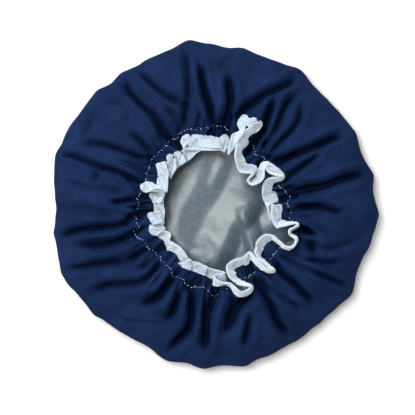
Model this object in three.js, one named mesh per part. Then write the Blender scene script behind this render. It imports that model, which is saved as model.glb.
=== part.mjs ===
// A shower cap of gathered cloth, laid on its crown with the elasticated mouth facing up.
// Millimetres, +Z up. The origin is on the surface that the cap lies on, under the middle of its outline.
//
// The cap is two round cloths, one inside the other, drawn in by an elastic band that is sewn a
// little way from their edge. What lies between the band and the edge is the frill, and a folded
// tape binds its edge. Every layer follows the same grid: a column for each fold's valley and for
// the ridge after it, and a row for each change of slope between the crown and the free edge.
import * as THREE from "three";

// Driving dimensions
const LAID_RADIUS = 145;
const MOUTH_RADIUS = 68.5;
const MOUTH_HEIGHT = 27;
const ROOF_HEIGHT = 34;
const RIM_HEIGHT = 11;
const RIM_TURN = 22;
const FOLD_DEPTH = 11;
const STITCH_FOLD_DEPTH = 2;
const FRILL_WIDTH = 18;
const COVER_THICKNESS = 0.4;
const LINER_THICKNESS = 0.3;
const BINDING_WIDTH = 11;
const BINDING_THICKNESS = 0.5;
const ELASTIC_WIDTH = 4;
const ELASTIC_THICKNESS = 0.8;
const THREAD_RADIUS = 0.25;
const SEAM_INSET = 1.5;
const LAYER_GAP = 0.3;

// The folds, anticlockwise from +X. Each row gives the valley's azimuth in degrees at the elastic
// and at the outline, the outline's radius there as a share of LAID_RADIUS, how far the fold runs
// as a share of the way from the elastic to the outline, and its depth as a share of FOLD_DEPTH.
const FOLD_SHARES = [
  [-0.5, -2.5, 1.003, 0.55, 0.6],
  [10.5, 12, 0.994, 1, 1],
  [22, 22, 0.967, 0.6, 0.6],
  [36, 28, 0.982, 1, 0.9],
  [50, 50, 0.962, 0.7, 0.8],
  [61, 58.5, 0.991, 1, 1],
  [77, 69, 0.968, 0.75, 1],
  [83.5, 83, 0.99, 0.65, 1],
  [92, 94, 1.01, 0.75, 0.9],
  [108, 99.5, 1.031, 1, 1],
  [115, 118, 0.994, 0.9, 0.6],
  [123.5, 126, 1.018, 1, 0.8],
  [138, 136.5, 1.028, 1, 0.5],
  [147, 152, 1.01, 0.9, 0.8],
  [160.5, 161.5, 1.031, 1, 0.9],
  [170, 172, 0.992, 0.6, 0.5],
  [191.5, 190.5, 1.012, 1, 0.9],
  [200, 197.5, 1.015, 0.8, 0.9],
  [211.5, 203.5, 1.031, 1, 1],
  [226, 216, 0.998, 1, 0.9],
  [238, 227, 0.985, 0.75, 1],
  [247.5, 243, 0.958, 0.5, 0.9],
  [256.5, 252.5, 0.994, 1, 1],
  [267.5, 266.5, 0.997, 1, 0.9],
  [279, 274, 0.982, 0.6, 1],
  [289.5, 282, 0.991, 1, 0.9],
  [300, 300.5, 0.972, 1, 0.7],
  [317, 316.5, 0.967, 0.8, 0.8],
  [325, 328, 0.994, 1, 0.9],
  [337, 343, 0.982, 0.8, 0.8],
  [349, 351, 0.986, 0.35, 0.5],
];

// The elastic's radius every fifteen degrees from +X, as shares of MOUTH_RADIUS.
const MOUTH_SHARES = [
  0.974, 0.925, 0.909, 0.92, 0.945, 0.987, 1.032, 1.055, 1.03, 1.026, 1.02, 0.994,
  0.984, 1.029, 1.013, 0.997, 1.026, 1.052, 1.08, 1.03, 1, 0.998, 1.05, 1.04,
];

// The gathered side's height above the elastic's, as [share of the way out, share of the rise].
const ROOF_SHARES = [
  [0.22, 0.85],
  [0.6, 0.7],
];
const RIM_TOP_WAY_SHARE = 0.93;
const RIM_TOP_HEIGHT_SHARE = 0.66;
// The rim's lower bend: how much of RIM_TURN and of RIM_HEIGHT is still to go there.
const RIM_BEND_SHARES = [0.3, 0.68];
// How far the outline swells between two folds, from their chord (0) to the circle through them (1).
const RIM_SWELL_SHARE = 0.6;
const RIDGE_LIFT_SHARE = 0.25;

// How the frill lies, in degrees from flat inwards (0) through upright (90) to flat outwards (180).
// The deepest folds lower it by the swing in their valleys and lift it as much on their ridges.
const FRILL_LEAN_DEGREES = 28;
const LEAN_SWING_DEGREES = 9;
const HEM_LEAN_SHARE = 0.5;

// Where the frill springs up or flops outwards: [azimuth, half of its span, lean], in degrees.
const FRILL_LOOP_DEGREES = [
  [24, 20, 100],
  [67, 25, 122],
  [112, 16, 62],
  [164, 16, 62],
  [289, 23, 132],
  [339, 25, 130],
];

const COLOURS = { navy: 0x1b2c55, silver: 0x9aa3a6, white: 0xe3e8ee, thread: 0xf2f3f0 };

const radians = THREE.MathUtils.degToRad;
const mix = THREE.MathUtils.lerp;
const turned = (azimuth) => new THREE.Vector3(Math.cos(radians(azimuth)), Math.sin(radians(azimuth)), 0);

// Distance round the circle from one azimuth to another, in degrees.
function azimuthApart(a, b) {
  return Math.abs(((a - b + 540) % 360) - 180);
}

function mouthRadius(azimuth) {
  const step = 360 / MOUTH_SHARES.length;
  const place = (((azimuth % 360) + 360) % 360) / step;
  const before = Math.floor(place);
  const from = MOUTH_SHARES[before % MOUTH_SHARES.length];
  const to = MOUTH_SHARES[(before + 1) % MOUTH_SHARES.length];
  return MOUTH_RADIUS * mix(from, to, THREE.MathUtils.smoothstep(place - before, 0, 1));
}

function frillLean(column) {
  const swing = LEAN_SWING_DEGREES * column.depth;
  let lean = FRILL_LEAN_DEGREES + (column.onRidge ? swing : -swing);
  for (const [at, half, loopLean] of FRILL_LOOP_DEGREES) {
    const near = Math.max(0, 1 - azimuthApart(column.atMouth, at) / half);
    lean = mix(lean, loopLean, THREE.MathUtils.smoothstep(near, 0, 1));
  }
  return lean;
}

// A column for each valley and, between it and the next, one for the ridge.
function makeColumns() {
  return FOLD_SHARES.flatMap((fold, i) => {
    const [atMouth, atRim, rimShare, reach, depth] = fold;
    const last = i === FOLD_SHARES.length - 1;
    const next = FOLD_SHARES[(i + 1) % FOLD_SHARES.length];
    const nextAtMouth = next[0] + (last ? 360 : 0);
    const nextAtRim = next[1] + (last ? 360 : 0);
    const chordShare = Math.cos(radians((nextAtRim - atRim) / 2));
    const swellShare = mix(chordShare, 1, RIM_SWELL_SHARE);
    return [
      { atMouth, atRim, rimShare, reach, depth, onRidge: false },
      {
        atMouth: mix(atMouth, nextAtMouth, 0.5),
        atRim: mix(atRim, nextAtRim, 0.5),
        rimShare: mix(rimShare, next[2], 0.5) * swellShare,
        reach: mix(reach, next[3], 0.5),
        depth: mix(depth, next[4], 0.5),
        onRidge: true,
      },
    ];
  });
}

// How far the cloth is pushed in or out by a column's fold, at a share of the way to the outline.
function foldOffset(column, way) {
  const fade = Math.max(0, 1 - way / column.reach);
  const size = column.depth * FOLD_DEPTH * fade;
  return column.onRidge ? size * RIDGE_LIFT_SHARE : -size;
}

// One column's line from the floor to the free edge: radius and height, before and after folding.
function meridian(column) {
  const rim = LAID_RADIUS * column.rimShare;
  const mouth = mouthRadius(column.atMouth);
  const stitched = (column.onRidge ? STITCH_FOLD_DEPTH : -STITCH_FOLD_DEPTH) / 2;
  const lean = frillLean(column);
  const outerSide = mouth + ELASTIC_WIDTH / 2;
  const innerSide = mouth - ELASTIC_WIDTH / 2;
  const roofRise = ROOF_HEIGHT - MOUTH_HEIGHT;
  const stitch = { r: innerSide, z: MOUTH_HEIGHT, fold: stitched, way: 0 };
  const leaning = (from, along, angle) => ({
    ...from,
    r: from.r - along * Math.cos(radians(angle)),
    z: from.z + along * Math.sin(radians(angle)),
  });
  const hem = leaning(stitch, FRILL_WIDTH - BINDING_WIDTH, lean * HEM_LEAN_SHARE);
  return [
    { r: rim - RIM_TURN, z: 0, fold: 0, way: 1 },
    {
      r: rim - RIM_TURN * RIM_BEND_SHARES[0],
      z: RIM_HEIGHT * (1 - RIM_BEND_SHARES[1]),
      fold: 0,
      way: 1,
    },
    { r: rim, z: RIM_HEIGHT, fold: 0, way: 1 },
    {
      r: mix(outerSide, rim, RIM_TOP_WAY_SHARE),
      z: ROOF_HEIGHT * RIM_TOP_HEIGHT_SHARE,
      fold: foldOffset(column, RIM_TOP_WAY_SHARE),
      way: RIM_TOP_WAY_SHARE,
    },
    ...[...ROOF_SHARES].reverse().map(([way, rise]) => ({
      r: mix(outerSide, rim, way),
      z: MOUTH_HEIGHT + roofRise * rise,
      fold: foldOffset(column, way),
      way,
    })),
    { r: outerSide, z: MOUTH_HEIGHT, fold: stitched, way: 0 },
    stitch,
    hem,
    leaning(hem, BINDING_WIDTH - BINDING_THICKNESS - LAYER_GAP, lean),
  ];
}

const CENTRE = { r: 0, z: 0 };

// Where a column's point is once its fold has pushed it in or out, square to the meridian.
function folded(column, points, k) {
  const here = points[k];
  const before = points[k - 1] ?? CENTRE;
  const after = points[k + 1] ?? { r: 2 * here.r - before.r, z: 2 * here.z - before.z };
  const arriving = new THREE.Vector2(here.r - before.r, here.z - before.z).normalize();
  const leaving = new THREE.Vector2(after.r - here.r, after.z - here.z).normalize();
  const along = arriving.add(leaving).normalize();
  const outwards = turned(mix(column.atMouth, column.atRim, here.way));
  return outwards
    .multiplyScalar(here.r + here.fold * along.y)
    .setZ(here.z - here.fold * along.x);
}

const CROWN = { at: new THREE.Vector3(0, 0, 0), stack: new THREE.Vector3(0, 0, -1) };
const columns = makeColumns();
const grid = columns.map((column) => {
  const points = meridian(column);
  return points.map((_, k) => ({ at: folded(column, points, k), stack: new THREE.Vector3() }));
});

// The cover's facets between two columns, the same way round for each: a fan at the crown, and each
// quad beyond it split from its corner nearest the crown.
function facetsBetween(j) {
  const here = grid[j];
  const beside = grid[(j + 1) % grid.length];
  const quads = here.slice(1).flatMap((_, k) => [
    [here[k], beside[k + 1], here[k + 1]],
    [here[k], beside[k], beside[k + 1]],
  ]);
  return [[CROWN, beside[0], here[0]], ...quads];
}

// The layers stack along each point's normal. On the floor that is straight down.
grid.forEach((_, j) => {
  for (const facet of facetsBetween(j)) {
    const [a, b, c] = facet.map((corner) => corner.at);
    const normal = b.clone().sub(a).cross(c.clone().sub(a)).normalize();
    facet.forEach((corner) => corner.stack.add(normal));
  }
});
grid.flat().forEach((point) => point.stack.normalize());
grid.forEach((column) => column[0].stack.copy(CROWN.stack.normalize()));

// The grid's rows that the other pieces are sewn to, which are its last four.
const FREE_EDGE = grid[0].length - 1;
const BINDING_EDGE = FREE_EDGE - 1;
const INNER_STITCH = BINDING_EDGE - 1;
const OUTER_STITCH = INNER_STITCH - 1;

// The way that a column's line runs where it ends at the free edge.
function edgewards(column) {
  const [before, edge] = column.slice(-2);
  return edge.at.clone().sub(before.at).normalize();
}

// How deep each layer's faces lie under the cover's outer face.
const COVER_INSIDE = COVER_THICKNESS;
const LINER_OUTSIDE = COVER_INSIDE + LAYER_GAP;
const LINER_INSIDE = LINER_OUTSIDE + LINER_THICKNESS;
const UNDER_LINER = LINER_INSIDE + LAYER_GAP;

const sunk = (point, depth) => point.at.clone().addScaledVector(point.stack, -depth);

// Turns corner points and triangles into a geometry with its faces pointing out.
function geometryOf(points, triangles) {
  let volume = 0;
  for (const [a, b, c] of triangles) {
    volume += points[a].dot(new THREE.Vector3().crossVectors(points[b], points[c]));
  }
  const facing = volume < 0 ? triangles.map(([a, b, c]) => [a, c, b]) : triangles;
  const geometry = new THREE.BufferGeometry().setFromPoints(points).setIndex(facing.flat());
  geometry.computeVertexNormals();
  return geometry;
}

// A cloth between two depths under the grid's surface, closed at the free edge and at the crown.
function clothGeometry(outsideDepth, insideDepth) {
  const rows = FREE_EDGE + 1;
  const count = grid.length;
  const points = [];
  for (const depth of [outsideDepth, insideDepth]) {
    points.push(sunk(CROWN, depth));
    grid.forEach((column) => column.forEach((point) => points.push(sunk(point, depth))));
  }
  const face = count * rows + 1;
  const corner = (side, j, k) => side * face + 1 + (j % count) * rows + k;
  const triangles = [];
  for (let j = 0; j < count; j += 1) {
    for (const side of [0, 1]) {
      const add = (a, b, c) => triangles.push(side ? [a, c, b] : [a, b, c]);
      add(side * face, corner(side, j + 1, 0), corner(side, j, 0));
      for (let k = 0; k < rows - 1; k += 1) {
        add(corner(side, j, k), corner(side, j + 1, k + 1), corner(side, j, k + 1));
        add(corner(side, j, k), corner(side, j + 1, k), corner(side, j + 1, k + 1));
      }
    }
    const [outer, outerBeside] = [corner(0, j, FREE_EDGE), corner(0, j + 1, FREE_EDGE)];
    const [inner, innerBeside] = [corner(1, j, FREE_EDGE), corner(1, j + 1, FREE_EDGE)];
    triangles.push([outer, outerBeside, innerBeside], [outer, innerBeside, inner]);
  }
  return geometryOf(points, triangles);
}

// A closed loop from one cross-section to the next. The quads of sides that run with the grid's
// rows are split the way the cloths' are, and those that run against them the other way.
function loopGeometry(sections, runsAgainst = []) {
  const sides = sections[0].length;
  const count = sections.length;
  const triangles = [];
  for (let j = 0; j < count; j += 1) {
    for (let m = 0; m < sides; m += 1) {
      const here = j * sides + m;
      const next = j * sides + ((m + 1) % sides);
      const beside = ((j + 1) % count) * sides + m;
      const across = ((j + 1) % count) * sides + ((m + 1) % sides);
      if (runsAgainst.includes(m)) triangles.push([here, beside, next], [next, beside, across]);
      else triangles.push([here, across, next], [here, beside, across]);
    }
  }
  return geometryOf(sections.flat(), triangles);
}

// The tape's cross-section: over the cover, round the free edge and back under the liner, and then
// the same way back along its inside, which is one thickness nearer to the cloths.
function bindingGeometry() {
  const face = (column, depth, beyond) => {
    const hem = column[BINDING_EDGE];
    const edge = column[FREE_EDGE];
    const turn = sunk(edge, depth).addScaledVector(edgewards(column), beyond);
    return [sunk(hem, depth), sunk(edge, depth), turn];
  };
  const inside = [-LAYER_GAP, UNDER_LINER];
  const outside = [inside[0] - BINDING_THICKNESS, inside[1] + BINDING_THICKNESS];
  const sections = grid.map((column) => [
    ...face(column, outside[0], LAYER_GAP + BINDING_THICKNESS),
    ...face(column, outside[1], LAYER_GAP + BINDING_THICKNESS).reverse(),
    ...face(column, inside[1], LAYER_GAP),
    ...face(column, inside[0], LAYER_GAP).reverse(),
  ]);
  return loopGeometry(sections, [3, 4, 8, 9, 10]);
}

function elasticGeometry() {
  const sections = grid.map((column) => {
    const outer = column[OUTER_STITCH];
    const inner = column[INNER_STITCH];
    return [
      sunk(outer, UNDER_LINER),
      sunk(inner, UNDER_LINER),
      sunk(inner, UNDER_LINER + ELASTIC_THICKNESS),
      sunk(outer, UNDER_LINER + ELASTIC_THICKNESS),
    ];
  });
  return loopGeometry(sections, [2]);
}

// A point of the cover's outer face between two columns and two rows, on the facet that is there.
function onFacet(j, u, rowFrom, v) {
  const here = grid[j % grid.length];
  const beside = grid[(j + 1) % grid.length];
  const [a, b, c, d] = [here[rowFrom], here[rowFrom + 1], beside[rowFrom], beside[rowFrom + 1]];
  const weights = v > u ? [1 - v, v - u, 0, u] : [1 - u, 0, u - v, v];
  const blend = (key) =>
    [a, b, c, d].reduce(
      (sum, corner, i) => sum.addScaledVector(corner[key], weights[i]),
      new THREE.Vector3(),
    );
  return { at: blend("at"), stack: blend("stack").normalize() };
}

// A thread of square section through points that lie on the facets, raised clear of them.
function threadGeometry(path, lift) {
  const middle = path.map((point) => sunk(point, -lift - THREAD_RADIUS));
  const sections = middle.map((point, i) => {
    const before = middle[(i + middle.length - 1) % middle.length];
    const after = middle[(i + 1) % middle.length];
    const along = new THREE.Vector3().subVectors(after, before).normalize();
    const side = new THREE.Vector3().crossVectors(along, path[i].stack).normalize();
    const up = new THREE.Vector3().crossVectors(side, along);
    return [up, side, up.clone().negate(), side.clone().negate()].map((way) =>
      point.clone().addScaledVector(way, THREAD_RADIUS),
    );
  });
  return loopGeometry(sections);
}

// The zigzag crosses the elastic's width and back once in each column, bending where facets meet.
function zigzagPath() {
  return grid.flatMap((_, j) => [
    onFacet(j, 0, OUTER_STITCH, 0),
    onFacet(j, 0.5, OUTER_STITCH, 1),
    onFacet(j, 2 / 3, OUTER_STITCH, 2 / 3),
  ]);
}

// The tape's seam runs along its lower edge, bending where facets meet.
function seamPath() {
  const inset = SEAM_INSET / BINDING_WIDTH;
  return grid.flatMap((_, j) => [
    onFacet(j, 0, BINDING_EDGE, inset),
    onFacet(j, inset, BINDING_EDGE, inset),
  ]);
}

const cloth = (color, roughness) => new THREE.MeshStandardMaterial({ color, roughness, metalness: 0 });
const pieces = {
  outer_cover: [clothGeometry(0, COVER_INSIDE), cloth(COLOURS.navy, 0.7)],
  waterproof_liner: [clothGeometry(LINER_OUTSIDE, LINER_INSIDE), cloth(COLOURS.silver, 0.45)],
  elastic_band: [elasticGeometry(), cloth(COLOURS.white, 0.8)],
  edge_binding: [bindingGeometry(), cloth(COLOURS.white, 0.9)],
  elastic_zigzag_thread: [threadGeometry(zigzagPath(), LAYER_GAP), cloth(COLOURS.thread, 0.6)],
  binding_seam_thread: [
    threadGeometry(seamPath(), 2 * LAYER_GAP + BINDING_THICKNESS),
    cloth(COLOURS.thread, 0.6),
  ],
};

const cap = new THREE.Group();
for (const [name, [geometry, material]] of Object.entries(pieces)) {
  const mesh = new THREE.Mesh(geometry, material);
  mesh.name = name;
  cap.add(mesh);
}

// The frame's origin is under the middle of the outline, which the mouth lies a little off.
const middle = new THREE.Box3().setFromObject(cap).getCenter(new THREE.Vector3());
cap.position.set(-middle.x, -middle.y, 0);

export default cap;
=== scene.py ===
"""A gathered shower cap, lying on its crown with the opening up.

Lengths are in millimetres until a mesh is made. The cap's middle is the middle of its elastic ring.
"""

import math
from functools import cached_property

import bpy
import numpy as np
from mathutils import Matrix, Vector


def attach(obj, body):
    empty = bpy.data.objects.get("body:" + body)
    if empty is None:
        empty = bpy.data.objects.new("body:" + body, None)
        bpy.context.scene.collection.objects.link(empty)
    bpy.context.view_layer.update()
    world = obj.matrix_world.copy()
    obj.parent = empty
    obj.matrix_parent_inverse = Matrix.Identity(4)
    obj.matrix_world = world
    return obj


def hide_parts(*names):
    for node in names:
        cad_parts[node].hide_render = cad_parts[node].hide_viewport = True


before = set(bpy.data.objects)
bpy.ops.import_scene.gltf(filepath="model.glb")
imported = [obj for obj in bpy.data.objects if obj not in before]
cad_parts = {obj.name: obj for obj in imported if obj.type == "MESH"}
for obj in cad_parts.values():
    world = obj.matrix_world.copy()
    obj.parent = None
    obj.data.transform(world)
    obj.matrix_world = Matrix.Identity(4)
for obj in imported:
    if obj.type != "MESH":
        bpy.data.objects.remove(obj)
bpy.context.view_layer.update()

MM = 0.001
LAP = 2 * math.pi
UP = np.array([0, 0, 1.0])

# Random hills repeat after this many cells, so that they close once round the cap
CELLS = 97

# The laid cap
MIDDLE = np.array([-0.3, -1.3])
RING_HEIGHT = 27.0
MEAN_RING = 67.5
MEAN_RIM = 145.0
RIM_TURN = 5.0
LOWEST = 0.25

# Folds end at the elastic when they come within its reach. Puckers lie between the deep ones.
FOLD_STRENGTH = 1.3
FOLD_LIMITS = (-11, 4)
DEEP_FOLD = 3.5
RING_REACH = 84
PUCKER_SPACING = 4.6
PUCKER_GAP = 2.6

# The cloths: flat cut in metres, then how far from the free edge the frill and the elastic lie on it
CLOTH_RADIUS = 238.0
FRILL_CUT = 18.0
ELASTIC_CUT = 19.0
COVER_THICKNESS = 0.4
COVER_IN_TAPE = 0.33
LINER_THICKNESS = 0.3
LINER_IN_TAPE = 0.1
LINER_DROP = 0.46
LINER_SLACK = 1.2
LINER_SAG = 0.95

# The tape, the elastic and their stitches
TAPE_WIDTH = 11.0
TAPE_HOLLOW = 0.46
ELASTIC_LENGTH = 430.0
ELASTIC_BELOW = 2.6
SEAM_INSET = 1.2
TAPE_SEAM_INSET = 1.5
TAPE_SEAM_RISE = 0.86
STITCH_PITCH = 3.5
TAPE_STITCH_PITCH = 3.4
ELASTIC_STITCH = {"Stitch length": 2.6, "Thread radius": 0.15, "Stitch rise": 0.42}
TAPE_STITCH = {"Stitch length": 2.3, "Thread radius": 0.17, "Stitch rise": 0.22}

# How closely the pieces are divided. Rows lie close at the elastic and evenly beyond it.
ROOF_COLUMNS = 696
FRILL_COLUMNS = 1000
TAPE_COLUMNS = 2200
CLOSE_ROWS = 14
CLOSE_STEPS = (0.9, 2.6)
EVEN_ROWS = 36
EVEN_STEP = 2.41
COVER_SHARES = [0.97, 0.92]
COVER_NET = 60
LINER_SHARES = [0.98, 0.93, 0.86, 0.78]
LINER_NET = 118
TAPE_SHARES = [0.88, 0.62, 0.35, 0.08]
FRILL_SHARES = [0.9, 0.76, 0.6, 0.44, 0.28, 0.14]
STATION_STEPS = 24
CREST_POINTS = 70

# Random hills: seed, size and height of each layer
ROOF_HILLS = [(3, 27, 1.7), (4, 12, 0.8)]
COVER_LEVEL = 0.85
COVER_HILLS = [(21, 24, 0.35), (22, 9, 0.2)]
LINER_LEVEL = 3.0
LINER_HILLS = [(31, 30, 0.9), (32, 9, 0.2)]
LINER_DOME = 8.5
DOME_REACH = (94, 58)

# Colours
# painted shade: the navy darkens towards this colour in fold valleys, creases, puckers and along the seam,
# where shade falls
NAVY_PAINTED_SHADE = (0.0004, 0.0018, 0.0085)
NAVY_DEEP = (0.0028, 0.0078, 0.028)
NAVY_LIGHT = (0.0061, 0.0157, 0.054)
SILVER_DEEP = (0.032, 0.05, 0.068)
SILVER_LIGHT = (0.066, 0.09, 0.108)
TAPE_DEEP = (0.256, 0.312, 0.37)
TAPE_LIGHT = (0.336, 0.396, 0.462)
THREAD_DEEP = (0.37, 0.45, 0.57)
THREAD_LIGHT = (0.47, 0.55, 0.67)
ELASTIC_DEEP = (0.62, 0.64, 0.66)
ELASTIC_LIGHT = (0.86, 0.87, 0.88)
FLOOR_DEEP = (0.575, 0.575, 0.575)
FLOOR_LIGHT = (0.595, 0.595, 0.595)

# The studio, in metres, and the photograph's frame
KEY_PLACE = (-0.62, 0.54, 1.6)
KEY_SIZE = 1.2
KEY_POWER = 57.0
SKY_STRENGTH = 0.98
FLOOR_HALF = 4.0
PHOTO_SIDE = 415
PIXEL = 0.00089
FILM_WIDTH = 36.0
EYE_DISTANCE = 1.6
EYE_LEVEL = 0.02
EYE_PIXELS = (-7.5, -2.0)

# Corners of the laid cap's outline: bearing in degrees, distance from the middle.
RIM_CORNERS = [
    (5, 141.9), (12, 144.6), (20, 140.4), (28, 143.4), (43, 138.8), (58.5, 144.3), (70, 140.2),
    (80, 143.4), (89.5, 146.2), (99, 150.6), (112, 143.9), (125, 148.2), (130, 146.2), (135.5, 149.0),
    (148, 146.3), (161.5, 150.2), (172, 144.3), (182, 143.4), (190, 146.2), (203.5, 150.2), (212, 145.4),
    (222, 145.2), (232, 140.4), (241, 139.2), (253, 144.7), (260, 141.7), (266.5, 145.1), (274, 142.2),
    (281, 144.3), (290, 140.0), (302, 140.6), (315, 140.8), (328, 144.8), (336, 142.0), (346, 142.2),
    (357.5, 146.6),
]

# Line of the elastic: bearing in degrees, distance from the middle.
RING_SHAPE = [
    (0, 65.9), (10, 64.1), (17, 61.0), (30, 61.0), (45, 61.4), (57, 61.8), (72, 65.5), (90, 71.2),
    (100, 71.6), (110, 73.4), (120, 70.2), (135, 69.6), (145, 69.0), (157, 67.0), (170, 69.2),
    (180, 67.0), (190, 70.6), (203, 73.2), (210, 68.8), (220, 67.0), (230, 67.4), (237, 69.8),
    (247, 70.4), (254, 72.0), (264, 74.6), (274, 76.4), (285, 72.0), (295, 68.8), (305, 68.4),
    (318, 67.6), (328, 68.8), (340, 77.0), (349, 70.0), (354, 67.6),
]

# Height of the laid cloth from the elastic to the rim: share of the way, height.
ROOF_PROFILE = [
    (0.0, 27.0), (0.05, 29.4), (0.12, 31.6), (0.24, 34.0), (0.4, 35.2), (0.56, 34.2), (0.72, 31.2),
    (0.86, 26.4), (0.95, 21.6),
]

# The turn of the rim: distance inside the outline, height.
RIM_PROFILE = [
    (2.6, 17.2), (0.5, 13.6), (0.0, 10.5), (0.8, 7.0), (3.4, 3.6), (8.0, 1.5), (15.0, 0.6), (24.0, 0.3),
]

# Folds of the laid cloth: depth, half width, then points along the fold from the rim inwards.
FOLDS = [
    (4.5, 2.5, [(-24, 141), (-26, 129), (-25, 119), (-24, 105), (-24, 94), (-26, 83), (-27, 70)]),
    (7.5, 2.5, [(-13, 129), (-11, 112), (-8, 98), (-4, 85), (-1, 70)]),
    (4.5, 2.2, [(-69, 125), (-65, 118), (-53, 106), (-42, 97), (-31, 91), (-25, 87)]),
    (5.2, 2.7, [(-85, 117), (-81, 108), (-73, 97), (-64, 88), (-55, 81), (-47, 73), (-40, 63),
        (-37, 58)]),
    (4.2, 1.8, [(-44, 88), (-38, 80), (-33, 72), (-30, 65)]),
    (3.2, 2.5, [(-53, 69), (-49, 64), (-44, 57)]),
    (4.2, 2.1, [(-77, 65), (-69, 60), (-61, 52), (-55, 46)]),
    (2.6, 2.3, [(-102, 97), (-92, 93), (-83, 92), (-77, 87), (-78, 80), (-81, 73)]),
    (2.0, 6.7, [(-91, 65), (-87, 67), (-83, 70)]),
    (3.0, 4.5, [(-105, 88), (-111, 78), (-117, 67), (-122, 58)]),
    (4.6, 2.3, [(-122, 56), (-102, 55), (-92, 52), (-80, 48), (-69, 43), (-57, 40)]),
    (5.2, 2.0, [(-141, 47), (-129, 45), (-116, 40), (-100, 34), (-89, 31), (-77, 26), (-66, 20)]),
    (3.6, 2.0, [(-99, 34), (-105, 27), (-109, 17)]),
    (2.0, 6.2, [(-129, 33), (-127, 28), (-125, 24)]),
    (2.6, 2.0, [(-136, 22), (-125, 19), (-111, 15), (-93, 14), (-80, 9), (-69, 5)]),
    (1.6, 1.4, [(-91, 32), (-83, 21), (-77, 14)]),
    (3.0, 1.8, [(-85, 38), (-73, 37), (-61, 33)]),
    (3.0, 2.0, [(-81, 26), (-75, 21), (-68, 15)]),
    (3.2, 2.1, [(-92, 2), (-77, 2), (-68, -2)]),
    (2.8, 2.8, [(-136, -2), (-120, -2), (-107, -4), (-95, -8), (-85, -10), (-69, -7)]),
    (6.2, 2.7, [(-142, -31), (-138, -27), (-127, -23), (-107, -20), (-89, -18), (-77, -15), (-69, -9)]),
    (5.4, 3.0, [(-124, -42), (-120, -36), (-107, -35), (-93, -33), (-83, -30), (-74, -26), (-66, -24)]),
    (5.0, 2.7, [(-136, -60), (-129, -57), (-116, -55), (-102, -52), (-89, -50), (-80, -50)]),
    (6.2, 3.0, [(-81, -49), (-71, -45), (-64, -40), (-58, -36)]),
    (4.6, 2.2, [(-69, -59), (-64, -53), (-58, -46), (-53, -40)]),
    (5.2, 3.2, [(-113, -81), (-105, -75), (-95, -71), (-83, -70), (-69, -68), (-61, -65), (-53, -57),
        (-49, -52)]),
    (8.2, 3.4, [(-67, -90), (-58, -85), (-49, -79), (-43, -71), (-36, -63)]),
    (7.2, 3.0, [(-49, -100), (-42, -100), (-37, -93), (-33, -82), (-28, -73), (-25, -66)]),
    (8.2, 3.2, [(-43, -133), (-36, -124), (-27, -115), (-21, -104), (-20, -93), (-20, -80), (-20, -70)]),
    (8.4, 3.6, [(-10, -133), (-9, -120), (-8, -106), (-6, -95), (-3, -84), (0, -75)]),
    (2.0, 1.6, [(-92, -97), (-76, -104), (-62, -105), (-49, -106), (-36, -104), (-28, -101)]),
    (9.0, 5.0, [(6, -116), (12, -106), (15, -95), (20, -86), (28, -77)]),
    (6.2, 3.0, [(27, -130), (28, -115), (30, -104), (32, -95)]),
    (6.8, 3.0, [(67, -120), (62, -112), (56, -104), (52, -93), (46, -82), (40, -73), (35, -65)]),
    (4.2, 2.3, [(78, -96), (73, -90), (65, -84), (56, -79), (47, -73), (41, -65)]),
    (3.0, 1.8, [(79, -81), (69, -79), (61, -73), (53, -66), (47, -60)]),
    (6.0, 2.5, [(90, -91), (83, -82), (76, -75), (69, -68), (61, -62), (54, -54)]),
    (4.6, 2.0, [(121, -73), (111, -69), (102, -65), (93, -61), (85, -57), (76, -54), (67, -49),
        (59, -44)]),
    (4.2, 2.7, [(116, -50), (102, -51), (89, -49), (76, -47), (65, -41)]),
    (3.4, 3.2, [(131, -31), (120, -33), (107, -37), (92, -40)]),
    (6.0, 3.7, [(83, -29), (85, -37), (87, -45)]),
    (6.0, 3.2, [(86, -23), (80, -22), (74, -22)]),
    (5.2, 2.2, [(117, -4), (109, -5), (98, -2), (86, 0), (76, -2), (68, -4)]),
    (2.4, 1.6, [(105, -26), (98, -23), (87, -16), (80, -12), (69, -10)]),
    (8.2, 3.0, [(12, 119), (13, 105), (14, 94), (12, 83), (9, 74), (7, 67)]),
    (7.4, 3.0, [(74, 117), (65, 109), (53, 103), (42, 97), (33, 90), (25, 84), (19, 77)]),
    (8.2, 2.6, [(56, 97), (51, 91), (48, 82), (45, 73), (42, 65), (37, 58), (32, 50)]),
    (5.2, 2.6, [(77, 99), (67, 94), (61, 85), (57, 76), (53, 67), (49, 60), (42, 52)]),
    (5.2, 2.4, [(78, 91), (77, 85), (73, 74), (67, 65), (58, 57), (51, 49), (46, 42)]),
    (1.6, 1.6, [(81, 73), (73, 63), (66, 55)]),
    (7.4, 2.7, [(117, 64), (107, 61), (98, 57), (86, 51), (76, 47), (64, 42), (53, 38)]),
    (5.4, 2.2, [(96, 50), (89, 43), (82, 38), (73, 32), (65, 25), (59, 20)]),
    (4.0, 2.1, [(71, 38), (65, 35), (59, 32)]),
    (7.4, 3.5, [(138, 29), (125, 27), (111, 23), (98, 18), (85, 15), (76, 13), (63, 9)]),
    (3.0, 1.8, [(74, 24), (67, 18), (61, 14)]),
    (2.2, 1.8, [(23, 139), (15, 133), (8, 128), (4, 120)]),
    (4.0, 2.1, [(5, 83), (4, 76), (3, 67)]),
    (3.0, 1.8, [(78, 4), (73, 5), (66, 6)]),
]

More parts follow.
